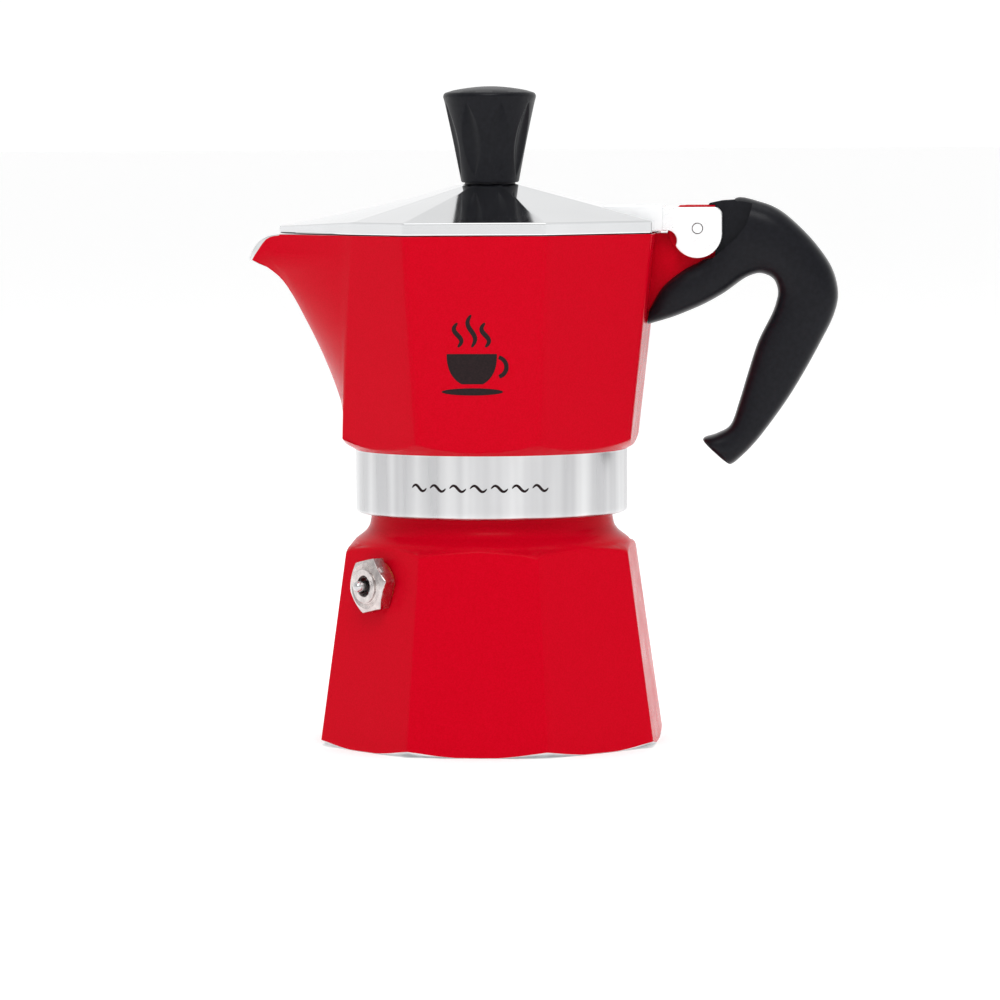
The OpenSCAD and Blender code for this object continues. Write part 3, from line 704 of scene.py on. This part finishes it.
def make_collector():
    heights = np.arange(70, 130.01, 0.25)

    def walls(inset, keel, power, corner):
        outlines = []
        for z in heights:
            reach, bow = hermite(z, keel), hermite(z, power)
            outlines.append(beaked_outline(jug_corner_r(z) - inset, spout_share(z), reach, bow, corner))
        return np.array(outlines)

    outside = walls(0, KEEL_OUT, POWER_OUT, CORNER_ROUND)
    inside = walls(JUG_WALL / FLAT, KEEL_IN, POWER_IN, 2.2)
    columns = outside.shape[1]
    middle = outside[70]
    angles = np.arctan2(middle[:, 1], middle[:, 0])

    # Where the flats meet the turned underside, and where they end at the rim or the lip.
    # Radii are negated for meet(), because here the columns pass from outside the profile to inside it.
    def minus_column_radius(z):
        return -np.linalg.norm(climb(heights, outside, np.full(columns, z))[:, :2], axis=1)

    fine_z = np.linspace(BAND_TOP_Z, 78.5, 160)
    low_z = meet(minus_column_radius, fine_z, -hermite(fine_z, UNDERSIDE_LINE), JUG_LOW_Z)

    def top_of(points):
        """Height at which each column reaches the lip's surface."""
        reach = np.full(columns, JUG_TOP_Z)
        found = np.zeros(columns, bool)
        for z in np.arange(118, JUG_TOP_Z, 0.05):
            at = climb(heights, points, np.full(columns, z))
            over = (z >= hermite(at[:, 0], LIP_LINE)) & ~found
            reach = np.where(over, z, reach)
            found |= over
        return reach

    top_z = top_of(outside)
    inner_top_z = top_of(inside)

    paint, bare, cast = 0, 1, 2
    levels, mats = [], []

    def add(points, material):
        levels.append(points)
        mats.append(material)

    def ring(radius, z):
        return ring_of(angles, radius, z)

    # Inside of the threaded socket, from the rising chamber down to the band's lower edge
    seat_top, seat_low = PLATE_HIGH[2] + 0.05, PLATE_LOW[2] + 0.05
    for r, z in [(5.55, 75.0), (6.0, 72.8), (22, 71.2), (26, seat_top), (PLATE_SEAT_R, seat_top),
                 (PLATE_SEAT_R, seat_low), (SOCKET_R, seat_low), (SOCKET_R, 64.0)]:
        add(ring(r, z), cast)
    for z in np.arange(SOCKET_THREAD_TOP_Z, BAND_Z + 0.9, -0.2):
        radius = thread(angles + math.pi, z, BAND_Z + 0.6, SOCKET_THREAD_TOP_Z, SOCKET_ROOT_R, SOCKET_CREST_R)
        add(ring(radius, z), bare)
    # Band: rounded lower edge, straight side, and the step under the jug
    edge_r = 1.1
    rounding = arc((BAND_R - edge_r, BAND_Z + edge_r), edge_r, -80, 0, 6)
    for r, z in [(SOCKET_R, BAND_Z + 0.35), (33.0, BAND_Z), *rounding]:
        add(ring(r, z), bare)
    for z in [60, 63, 66, 69, 72, 73.6, BAND_TOP_Z - 0.05]:
        add(ring(BAND_R, z), bare)
    # Turned underside of the jug, up to the scalloped edge
    for share in [0.0, 0.15, 0.35, 0.55, 0.75, 0.9]:
        z = BAND_TOP_Z + (low_z - 0.25 - BAND_TOP_Z) * share
        add(ring(hermite(z, UNDERSIDE_LINE) + (0.02 if share == 0 else 0), z), paint)
    low = low_z + 0.45
    start = ring(hermite(low_z - 0.25, UNDERSIDE_LINE), low_z - 0.25)
    for t in np.linspace(0, 1, 5):
        add(bend(start, climb(heights, outside, low_z), climb(heights, outside, low), t), paint)
    # Flats and spout up to the bare margin of the lip
    on_lip = np.where(JUG_TOP_Z - top_z > 0.05, bare, paint)
    high = top_z - RIM_SOFT - LIP_MARGIN * smoothstep(0, 2.4, JUG_TOP_Z - top_z)
    shares = [0.03, 0.1, 0.2, 0.3, 0.4, 0.5, 0.58, 0.66, 0.72, 0.78, 0.83, 0.88, 0.92, 0.95, 0.975, 1.0]
    for share in shares:
        add(climb(heights, outside, low + (high - low) * share), paint)
    mats[-1] = on_lip
    for share in [0.4, 0.75]:
        add(climb(heights, outside, high + (top_z - RIM_SOFT - high) * share), on_lip)
    # Over the rim, with both of its edges rounded
    outer_edge = climb(heights, outside, top_z - RIM_SOFT)
    outer_top = climb(heights, outside, top_z)
    inner_top = climb(heights, inside, inner_top_z)
    across = inner_top - outer_top
    span = np.linalg.norm(across, axis=1)[:, None]
    inward = across / np.maximum(span, 1e-6) * np.minimum(RIM_SOFT, span * 0.3)
    inner_edge = climb(heights, inside, inner_top_z - RIM_SOFT)
    for t in [0.0, 0.35, 0.7, 1.0]:
        add(bend(outer_edge, outer_top, outer_top + inward, t), on_lip if t < 0.5 else bare)
    for t in [0.0, 0.35, 0.7, 1.0]:
        add(bend(inner_top - inward, inner_top, inner_edge, t), bare)
    # Down the inside to the floor and the chimney's boss
    depth = inner_top_z - RIM_SOFT - JUG_FLOOR_Z
    for share in [0.97, 0.92, 0.86, 0.8, 0.72, 0.64, 0.55, 0.45, 0.35, 0.25, 0.15, 0.07, 0.0]:
        add(climb(heights, inside, JUG_FLOOR_Z + depth * share), cast)
    inner_foot = climb(heights, inside, np.full(columns, JUG_FLOOR_Z))
    foot_r = np.linalg.norm(inner_foot[:, :2], axis=1)
    for share, z in [(0.985, 78.0), (0.94, 76.6), (0.88, 75.8), (0.8, 75.5)]:
        add(ring(np.minimum(foot_r, 36.3) * share, z), cast)
    for r, z in [(14, 75.5), (9.5, 76.2), (7, 77.0), (6.2, 77.1), (5.6, 76.6)]:
        add(ring(r, z), cast)
    finishes = [ENAMEL, MACHINED, CAST]
    jug = skin("jug", levels, finishes, mats, ends="loop")
    whole = merge("collector_shell", [jug, *make_bracket(finishes)], finishes)
    return finish_piece(whole, "collector", ["collector"])


# ---------------------------------------------------------------- hinge

PIN_X = (PIN_LOW[0] + PIN_HIGH[0]) / 2
PIN_Z = (PIN_LOW[2] + PIN_HIGH[2]) / 2
WEB_Y = 3.6
KNUCKLE_Y = 4.9
CHEEK_Y = 5.0
CHEEK_X = 57.0
EAR_INNER_Y = 5.2
EAR_Y = 8.0
EAR_PROUD = 0.15
PIN_BORE_R = 1.27
EAR_HOLE_R = 1.42
KNUCKLE_R = 7.6
BLOCK_TOP_Z = 135.2
EAR_TOP_Z = 134.7
# Outlines as [x, z]: the web's end in the handle, and the handle's pad beside the ear
TONGUE = [(62, BLOCK_TOP_Z), (65.5, 131.5), (65.5, 124), (58, 117), (44, 108.6)]
CHEEK_LINE = [(66, 133.9), (64.9, 130.3), (62.4, 127), (59, 124.1), (56.4, 122), (52.7, 121.2), (45, 122.5)]


def make_bracket(finishes):
    """Web down the wall with its tongue into the handle, and the wider knuckle about the pin."""
    web_line = [(38.9, 105.4), (41.2, JUG_TOP_Z - 0.1), (44.9, JUG_TOP_Z - 0.1), (45.4, 130.2), (46, 132),
                (48, BLOCK_TOP_Z - 0.06), (62, BLOCK_TOP_Z - 0.06)]
    web = plate("web", web_line + TONGUE[1:], -WEB_Y, WEB_Y, 0.3, finishes)
    knuckle_line = [(CHEEK_X, BLOCK_TOP_Z), (49.3, BLOCK_TOP_Z)]
    knuckle_line += arc((PIN_X, PIN_Z), KNUCKLE_R, 136, 304, 40) + [(CHEEK_X, 123.2)]
    knuckle = plate("knuckle", knuckle_line, -KNUCKLE_Y, KNUCKLE_Y, 0.25, finishes)
    for part in (web, knuckle):
        cut(part, cylinder_across("bore", PIN_X, PIN_Z, PIN_BORE_R, -EAR_Y, EAR_Y))
    return [web, knuckle]


def make_ear(y0, y1, finishes):
    """Square above, round below, hollowed towards the rim."""
    outline = [(43.9, 129.0), (43.9, EAR_TOP_Z)]
    outline += arc((56.8, EAR_TOP_Z - 2), 2, 90, 0, 8)
    outline += arc((52.6, 128.2), 6.2, 0, -150, 30)
    outline += arc((44.9, 126.4), 2.6, -10, 75, 10)
    ear = plate("ear", outline, y0, y1, 0.25, finishes)
    return cut(ear, cylinder_across("hole", PIN_X, PIN_Z, EAR_HOLE_R, -EAR_Y - 1, EAR_Y + 1))


def make_block(finishes):
    """Raised block between the lid's slope and its ears, set back a little from the ears' sides."""
    outline = [(27.5, 133.2), (29.5, BLOCK_TOP_Z), (43.6, BLOCK_TOP_Z), (44.6, 134.2), (44.6, 128.8),
               (40, 128.8), (38.5, 131)]
    return plate("block", outline, -EAR_Y + EAR_PROUD, EAR_Y - EAR_PROUD, 0.3, finishes)


# ---------------------------------------------------------------- lid

LID_CORNER_R = JUG_TOP_R - 0.1
LID_SHARE = 0.405
NOSE_X = -LID_LOW[0]
LID_Z = 128.5
LID_TOP_Z = LID_HIGH[2]
NOSE_TIP_H = 1.8
NOSE_RISE = 1.2
NOSE_HOLLOW = 0.55
SCREW_HOLE_R = 2.1


def lid_outline(inset, corner=0.7):
    return beaked_outline(LID_CORNER_R - inset / FLAT, LID_SHARE, NOSE_X - inset * 1.2, 1.1, corner)


def make_lid():
    outer = lid_outline(0)
    columns = len(outer)
    joint = polar(LID_CORNER_R, 157.5) * (1 - LID_SHARE) + polar(LID_CORNER_R, 112.5) * LID_SHARE
    on_nose = outer[:, 0] < joint[0]
    along = np.where(on_nose, np.clip(np.abs(outer[:, 1]) / joint[1], 0, 1), 1)
    edge_z = LID_Z + NOSE_TIP_H + NOSE_RISE * along**1.2
    hollow = NOSE_HOLLOW * np.where(on_nose, 1 - along, 0)
    crown = beaked_outline(7.1, LID_SHARE, 6.9, 1.0, 0.2)
    inner_crown = beaked_outline(6.6, LID_SHARE, 6.4, 1.0, 0.2)
    angles = np.arctan2(crown[:, 1], crown[:, 0])

    levels = []

    def add(points, z):
        levels.append(np.column_stack([points, np.broadcast_to(z, columns)]))

    def add_ring(radius, z):
        levels.append(ring_of(angles, radius, z))

    def slope(rim, rim_z, top, top_z, shares):
        for u in shares:
            add(rim * (1 - u) + top * u, rim_z + (top_z - rim_z) * u - hollow * 4 * u * (1 - u))

    # Screw hole and boss, underside of the slope, inside of the rim
    add_ring(SCREW_HOLE_R, LID_TOP_Z - 3.6)
    add_ring(4.3, LID_TOP_Z - 3.6)
    add_ring(4.5, LID_TOP_Z - 3.4)
    add_ring(4.6, LID_TOP_Z - 1.7)
    inner = lid_outline(1.8, 1.2)
    inner_shares = [1, 0.98, 0.85, 0.7, 0.55, 0.4, 0.25, 0.12, 0.03, 0.0]
    slope(inner, edge_z - 1.3, inner_crown, LID_TOP_Z - 1.7, inner_shares)
    add(inner, LID_Z + 0.2)
    add(lid_outline(1.6, 1.2), LID_Z)
    # Rim with softened edges, then the facets
    add(lid_outline(0.3), LID_Z)
    add(lid_outline(0.08), LID_Z + 0.07)
    add(outer, LID_Z + 0.3)
    add(outer, (LID_Z + edge_z) / 2)
    for inset, drop in [(0, 0.35), (0.04, 0.16), (0.16, 0.02)]:
        add(lid_outline(inset), edge_z - drop)
    outer_shares = [0.012, 0.03, 0.1, 0.2, 0.3, 0.4, 0.5, 0.6, 0.7, 0.8, 0.9, 0.97, 1.0]
    slope(outer, edge_z, crown, LID_TOP_Z, outer_shares)
    add_ring(5.5, LID_TOP_Z)
    add_ring(SCREW_HOLE_R + 0.2, LID_TOP_Z)
    add_ring(SCREW_HOLE_R, LID_TOP_Z - 0.2)
    finishes = [POLISHED, SATIN]
    shell = skin("shell", levels, finishes, ends="loop")
    pieces = [shell, make_block(finishes)]
    for side in (-1, 1):
        y0, y1 = sorted((side * EAR_INNER_Y, side * EAR_Y))
        pieces.append(make_ear(y0, y1, finishes))
    for piece in pieces[1:]:
        for face in piece.data.polygons:
            face.material_index = finishes.index(SATIN)
    lid = merge("lid_shell", pieces, finishes)
    return finish_piece(lid, "lid", ["lid"], angle=10)


# ---------------------------------------------------------------- knob

KNOB_FOOT_Z, KNOB_TOP_Z = KNOB_LOW[2], KNOB_HIGH[2]
KNOB_FOOT_R = 7.25
KNOB_R = 11.7
KNOB_RIM_Z = 162.8
KNOB_HOLLOW = 0.12
FLUTES = 8
FLUTE_TURN = math.radians(-70)
FLUTE_MIDDLE_Z = (KNOB_FOOT_Z + KNOB_RIM_Z) / 2
FLUTE_HALF_H = 9.3
FLUTE_HALF_W = 2.75
FLUTE_DEPTH = 1.0


def make_knob():
    """Tapered knob with lens-shaped flutes; the columns follow the flutes' edges."""
    half_sector = math.pi / FLUTES
    across_flute = np.linspace(-1, 1, 28, endpoint=False)
    across_land = np.linspace(0, 1, 12, endpoint=False)

    def side_r(z):
        u = (z - KNOB_FOOT_Z) / (KNOB_RIM_Z - KNOB_FOOT_Z)
        return KNOB_FOOT_R + (KNOB_R - KNOB_FOOT_R) * u - KNOB_HOLLOW * 4 * u * (1 - u)

    def ring(radius, z):
        reach = 1 - ((z - FLUTE_MIDDLE_Z) / FLUTE_HALF_H) ** 2
        edge = max(FLUTE_HALF_W * max(reach, 0) / max(radius, 1), 0.03)
        if reach < 0:
            edge += (half_sector / 2 - edge) * min(1, -reach * 2.5)
        depth = FLUTE_DEPTH * max(reach, 0) * (1 - across_flute**2) ** 1.4
        angles = np.concatenate([across_flute * edge, edge + across_land * 2 * (half_sector - edge)])
        radii = radius - np.concatenate([depth, np.zeros(len(across_land))])
        turns = FLUTE_TURN + np.arange(FLUTES)[:, None] * 2 * half_sector + angles
        x, y = radii * np.cos(turns), radii * np.sin(turns)
        return np.column_stack([x.ravel(), y.ravel(), np.full(x.size, z)])

    bush_r, bush_top = 3.2, KNOB_FOOT_Z + 10.5
    levels = [ring(0, bush_top), ring(bush_r, bush_top), ring(bush_r, KNOB_FOOT_Z)]
    levels += [ring(KNOB_FOOT_R - 0.4, KNOB_FOOT_Z), ring(KNOB_FOOT_R - 0.1, KNOB_FOOT_Z + 0.1)]
    heights = np.concatenate([
        [KNOB_FOOT_Z + 0.4, KNOB_FOOT_Z + 0.8],
        np.linspace(FLUTE_MIDDLE_Z - FLUTE_HALF_H, FLUTE_MIDDLE_Z + FLUTE_HALF_H, 41),
    ])
    levels += [ring(side_r(z), z) for z in heights]
    dome = arc((KNOB_R - 1.15, KNOB_RIM_Z - 0.2), 1.15, -5, 62, 8)
    dome += [(9.2, KNOB_TOP_Z - 1.0), (7.5, KNOB_TOP_Z - 0.68), (5.5, KNOB_TOP_Z - 0.38),
             (3.5, KNOB_TOP_Z - 0.16), (1.6, KNOB_TOP_Z - 0.03), (0, KNOB_TOP_Z)]
    levels += [ring(r, z) for r, z in dome]
    knob = skin("knob_grip", levels, [PLASTIC])
    return finish_piece(knob, "lid", ["knob"], angle=24)


# ---------------------------------------------------------------- handle

HANDLE_REACH_X = 87.5
# Sections of the handle: [upper or outer x, z, lower or inner x, z, half width]
HANDLE_SECTIONS = [
    (40.4, 109.2, 39.9, 105.3, 5.6), (43.5, 114.6, 45.5, 106.9, 7.2), (48.5, 118.8, 50, 108.6, 7.7),
    (54, 121.8, 54.5, 110.6, 7.7), (58.2, 126, 59.1, 113.2, 7.7), (60, 132, 63.4, 116.3, 7.7),
    (62, 136.9, 65.7, 117.5, 7.7), (68, 135.9, 68, 118, 7.7), (72.6, 134, 70.2, 117.4, 7.6),
    (77, 130.5, 71.5, 116.4, 7.5), (82, 125.2, 72.2, 115, 7.4), (86, 119.2, 72.5, 113.3, 7.3),
    (HANDLE_REACH_X, 113, 72.2, 111.4, 7.2), (86.4, 107.4, 71, 107.9, 7.1), (83.2, 100.9, 67.6, 101.1, 6.9),
    (79.2, 93.6, 65.1, 93.6, 6.7), (74.6, 86.1, 62.8, 86.1, 6.5), (69.1, 78.5, 60.6, 80.1, 6.5),
    (65.5, 74.2, 57.3, 77.9, 6.7), (62, 70.9, 54.2, 76.9, 6.9), (60.6, 70, 53.6, 76.4, 6.3),
]


def through(rows, per_step):
    """Smooth run through rows of numbers, at an even count of steps between them."""
    rows = np.array(rows, float)
    padded = np.vstack([2 * rows[0] - rows[1], rows, 2 * rows[-1] - rows[-2]])
    out = []
    for k in range(1, len(rows)):
        p0, p1, p2, p3 = padded[k - 1], padded[k], padded[k + 1], padded[k + 2]
        for t in np.arange(per_step) / per_step:
            out.append(
                0.5 * (2 * p1 + (p2 - p0) * t + (2 * p0 - 5 * p1 + 4 * p2 - p3) * t**2
                       + (3 * p1 - p0 - 3 * p2 + p3) * t**3)
            )
    out.append(rows[-1])
    return np.array(out)


def make_handle():
    ring_steps = 56
    turn = np.arange(ring_steps) * 2 * math.pi / ring_steps
    up = np.sign(np.sin(turn)) * np.abs(np.sin(turn)) ** 0.75
    out = np.sign(np.cos(turn)) * np.abs(np.cos(turn)) ** 0.6

    def ring(row, shrink=1.0, shift=(0, 0)):
        center = np.array([row[0] + row[2], row[1] + row[3]]) / 2 + np.array(shift)
        half = np.array([row[0] - row[2], row[1] - row[3]]) / 2 * shrink
        points = np.column_stack([center[0] + half[0] * up, row[4] * shrink * out, center[1] + half[1] * up])
        points[:, 0] = np.minimum(points[:, 0], HANDLE_REACH_X)
        return points

    rows = through(HANDLE_SECTIONS, 5)
    start, tail = rows[0], rows[-1]
    levels = [ring(start, 0.9)]
    levels += [ring(row) for row in rows]
    heading = (tail - rows[-2])[0:2] + (tail - rows[-2])[2:4]
    heading = heading / np.linalg.norm(heading)
    for t in (0.25, 0.5, 0.75, 0.92):
        levels.append(ring(tail, math.sqrt(1 - t * t * 0.75), heading * 0.5 * t))
    body = skin("grip", levels, [PLASTIC], ends="caps")
    # Slot for the web, room for the knuckle, and the flat pads beside the ears
    slot = [(30, 90), (30, BLOCK_TOP_Z), *TONGUE, (38.9, 105.4)]
    room = [(30, 139), (CHEEK_X, 139), (CHEEK_X, 122.48), *CHEEK_LINE[4:], (30, 122.5)]
    pad = [(45, 139), (67, 139), *CHEEK_LINE]
    cutters = []
    for outline, y0, y1 in [
        (slot, -WEB_Y - 0.02, WEB_Y + 0.02), (room, -CHEEK_Y - 0.3, CHEEK_Y + 0.3),
        (pad, -9, -CHEEK_Y), (pad, CHEEK_Y, 9),
    ]:
        cutters.append(skin("cutter", [[(x, y, z) for x, z in outline] for y in (y0, y1)], [], ends="caps"))
    cut(body, *cutters)
    # Cheeks on both sides of the tongue, and a cover over it
    cheek_line = [(CHEEK_X + 0.05, 135.9), (CHEEK_X + 0.05, 121.5), (60, 119), (64, 124), (64, 135.9)]
    parts = [body]
    for side in (-1, 1):
        y0, y1 = sorted((side * (WEB_Y + 0.02), side * (CHEEK_Y - 0.03)))
        parts.append(plate("cheek", cheek_line, y0, y1, 0.1, [PLASTIC]))
    cover_line = [(55.3, BLOCK_TOP_Z + 0.05), (55.6, 135.7), (58.5, 136.3), (62, 136.5), (66, 134),
                  (65.65, 131.6), (62.05, BLOCK_TOP_Z + 0.05)]
    parts.append(plate("cover", cover_line, -CHEEK_Y + 0.06, CHEEK_Y - 0.06, 0.2, [PLASTIC]))
    handle = merge("handle_grip", parts, [PLASTIC])
    return finish_piece(handle, "collector", ["handle"], angle=35)


# ---------------------------------------------------------------- safety valve

VALVE_Z = 41.4
VALVE_TURN = math.radians(225)
VALVE_AF = 12.7
HEX_TURN = math.radians(-18)
HEX_FOOT, HEX_FACE, COLLAR_FACE = 37.1, 40.9, 41.6


def make_valve():
    """Hexagon with turned-off corners, a collar around the bore, and a shank with the spring's chamber."""
    columns = 192
    angles = np.arange(columns) * 2 * math.pi / columns
    total = np.zeros(columns)
    for face in range(6):
        cosine = np.cos(angles - HEX_TURN - math.pi / 6 - face * math.pi / 3)
        total += np.maximum(cosine, 0) ** 160
    hex_r = VALVE_AF / 2 * total ** (-1 / 160)
    chamfer_start, chamfer_slope = VALVE_AF / 2 - 0.7, 0.504

    levels = []

    def add(radius, height):
        levels.append(ring_of(angles, radius, height))

    collar_edge = COLLAR_FACE - 0.15
    for r, d in [(3.1, 31), (3.1, 39.4), (2.6, 39.4), (2.6, collar_edge), (2.75, COLLAR_FACE),
                 (3.4, COLLAR_FACE), (4.1, COLLAR_FACE), (4.25, collar_edge), (4.25, HEX_FACE + 0.02)]:
        add(r, d)
    for k, r in enumerate(np.linspace(4.4, chamfer_start, 15)):
        add(r, HEX_FACE - 0.05 * (k % 2))
    edge = HEX_FACE - (hex_r - chamfer_start) * chamfer_slope
    for t in (0.3, 0.65, 0.95):
        add(chamfer_start + (hex_r - chamfer_start) * t, HEX_FACE + (edge - HEX_FACE) * t)
    add(hex_r, edge - 0.06)
    add(hex_r, (edge + HEX_FOOT) / 2)
    add(hex_r, HEX_FOOT + 0.1)
    add(hex_r - 0.1, HEX_FOOT)
    for r, d in [(4.2, HEX_FOOT), (4.2, 31.3), (3.9, 31)]:
        add(r, d)
    body = skin("valve_hexagon", levels, [VALVE], ends="loop")
    place = Matrix.Translation((0, 0, VALVE_Z * MM)) @ Matrix.Rotation(VALVE_TURN, 4, "Z")
    body.data.transform(place @ Matrix.Rotation(math.pi / 2, 4, "Y"))
    return finish_piece(body, "boiler", ["valve_body"], angle=25)


# ---------------------------------------------------------------- printed decoration

# Underside and top of the print, measured out of the surface under it
PRINT_LOW, PRINT_HIGH = 0.004, 0.05
CUP_X, CUP_Z = -1.0, 92.0
BAND_MARK_Z = 66.0


def on_front_facet(u, v, lift):
    """Point on the collector's front facet: u to the right, v up, lift out of the facet."""
    lean = math.atan((JUG_TOP_R - JUG_LOW_R) * FLAT / (JUG_TOP_Z - JUG_LOW_Z))
    away = jug_corner_r(CUP_Z) * FLAT + v * math.sin(lean) + lift * math.cos(lean)
    return (CUP_X + u, -away, CUP_Z + v * math.cos(lean) - lift * math.sin(lean))


def on_band(u, v, lift):
    """Point on the band's front: u around it, v up, lift out of it."""
    angle = -math.pi / 2 + u / BAND_R
    return ((BAND_R + lift) * math.cos(angle), (BAND_R + lift) * math.sin(angle), BAND_MARK_Z + v)


def printed(name, outlines, place):
    """Thin raised print from strips: each outline is a list of [left, right] pairs of points."""
    mesh = bpy.data.meshes.new(name)
    bm = bmesh.new()
    for pairs in outlines:
        rows = []
        for left, right in pairs:
            corners = [(*left, PRINT_LOW), (*right, PRINT_LOW), (*right, PRINT_HIGH), (*left, PRINT_HIGH)]
            rows.append([bm.verts.new(Vector(place(*corner)) * MM) for corner in corners])
        for here, ahead in zip(rows, rows[1:]):
            for k in range(4):
                bm.faces.new([here[k], here[(k + 1) % 4], ahead[(k + 1) % 4], ahead[k]])
        bm.faces.new(rows[0][::-1])
        bm.faces.new(rows[-1])
    bmesh.ops.recalc_face_normals(bm, faces=bm.faces)
    bm.to_mesh(mesh)
    bm.free()
    obj = new_object(name, mesh, [PRINT])
    return finish_piece(obj, "collector", weighted=False)


def stroke(points, width, taper=0.25):
    """Strip along a line, narrower at its two ends."""
    line = np.array(points, float)
    along = np.gradient(line, axis=0)
    aside = np.column_stack([-along[:, 1], along[:, 0]]) / np.linalg.norm(along, axis=1)[:, None]
    share = np.linspace(0, 1, len(line))
    half = width / 2 * (taper + (1 - taper) * np.sin(math.pi * share) ** 0.5)[:, None]
    return list(zip(line + aside * half, line - aside * half))


def wave(x, low, high, swing, steps=24):
    """Upright wavy line, as steam is drawn."""
    t = np.linspace(0, 1, steps)
    return [(x + swing * math.sin(2 * math.pi * a), low + (high - low) * a) for a in t]


def make_prints():
    """A plain cup with steam on the front facet, and a row of waves around the band's front."""
    bowl = []
    for t in np.linspace(0, 1, 20):
        half = 6.2 * math.sqrt(1 - 0.82 * (1 - t) ** 2.4)
        bowl.append(((-half, 7.5 * t), (half, 7.5 * t)))
    saucer = []
    for a in np.linspace(-math.pi / 2, math.pi / 2, 13):
        half, v = 7.6 * math.cos(a) + 0.01, -1.9 + 0.9 * math.sin(a)
        saucer.append(((-half, v), (half, v)))
    grip = stroke(arc((6.0, 4.3), 2.5, -75, 75, 20), 1.1, 0.8)
    steam = [stroke(wave(x, 9.2, 9.2 + rise, 0.9), 1.2) for x, rise in ((-3.4, 6.0), (0.0, 8.0), (3.4, 6.0))]
    printed("printed_cup", [bowl, saucer, grip, *steam], on_front_facet)
    marks = []
    for k in range(-3, 4):
        line = [(5.2 * k + 4.2 * (a - 0.5), 0.75 * math.sin(2 * math.pi * a)) for a in np.linspace(0, 1, 20)]
        marks.append(stroke(line, 0.7, 0.2))
    printed("printed_waves", marks, on_band)


make_boiler()
make_collector()
make_prints()
make_lid()
make_knob()
make_handle()
make_valve()

# ---------------------------------------------------------------- carried-over CAD nodes

CARRIED = {
    "valve_washer": BRASS, "valve_retainer": BRASS, "valve_spring": STEEL,
    "valve_seal": RUBBER, "valve_pin": STEEL, "funnel": DRAWN, "funnel_sieve": DRAWN, "gasket": RUBBER,
    "filter_plate": DRAWN, "chimney": CAST, "hinge_pin": SATIN, "handle_screw": STEEL,
    "knob_washer": PLASTIC, "knob_insert": BRASS, "knob_screw": STEEL,
}
for node_name, material in CARRIED.items():
    mesh = NODES[node_name].data
    mesh.materials.clear()
    mesh.materials.append(material)

# ---------------------------------------------------------------- stage and lights


# Brightness of the surround by height, 0 at the horizon and 1 overhead, and its share in front of the pot
SURROUND = [(0.0, 1.05), (0.18, 1.0), (0.55, 0.8), (1.0, 0.85)]
FRONT_SHARE = 0.7


def make_stage():
    """Wide pale floor, a pale surround and soft lights."""
    mesh = bpy.data.meshes.new("floor")
    bm = bmesh.new()
    bmesh.ops.create_grid(bm, x_segments=8, y_segments=8, size=40)
    bm.to_mesh(mesh)
    bm.free()
    floor = new_object("floor", mesh, [pale_floor()])
    floor.location.z = -0.02 * MM
    world = bpy.data.worlds.new("studio")
    world.use_nodes = True
    nodes, links = world.node_tree.nodes, world.node_tree.links
    coords = nodes.new("ShaderNodeTexCoord")
    split = nodes.new("ShaderNodeSeparateXYZ")
    ramp = nodes.new("ShaderNodeValToRGB")
    set_stops(ramp.color_ramp, SURROUND)
    links.new(coords.outputs["Generated"], split.inputs["Vector"])
    links.new(split.outputs["Z"], ramp.inputs["Fac"])
    links.new(ramp.outputs["Color"], nodes["Background"].inputs["Color"])
    front = nodes.new("ShaderNodeMapRange")
    front.interpolation_type = "SMOOTHSTEP"
    front.inputs["From Min"].default_value = -0.75
    front.inputs["From Max"].default_value = 0.35
    front.inputs["To Min"].default_value = FRONT_SHARE
    front.inputs["To Max"].default_value = 1.0
    links.new(split.outputs["Y"], front.inputs["Value"])
    links.new(front.outputs["Result"], nodes["Background"].inputs["Strength"])
    bpy.context.scene.world = world


def area_light(name, place, target, size, watts):
    data = bpy.data.lights.new(name, "AREA")
    data.shape = "RECTANGLE"
    data.size, data.size_y = size
    data.energy = watts
    light = bpy.data.objects.new(name, data)
    bpy.context.scene.collection.objects.link(light)
    light.location = place
    light.rotation_mode = "QUATERNION"
    light.rotation_quaternion = (Vector(place) - Vector(target)).to_track_quat("Z", "Y")


make_stage()
area_light("front_softbox", (0.1, -1.25, 1.4), (0, 0, 0.08), (0.9, 0.7), 12)
area_light("top_softbox", (0.1, 0.1, 1.8), (0, 0, 0.1), (1.4, 1.4), 7)

bpy.context.scene.view_settings.view_transform = "Standard"
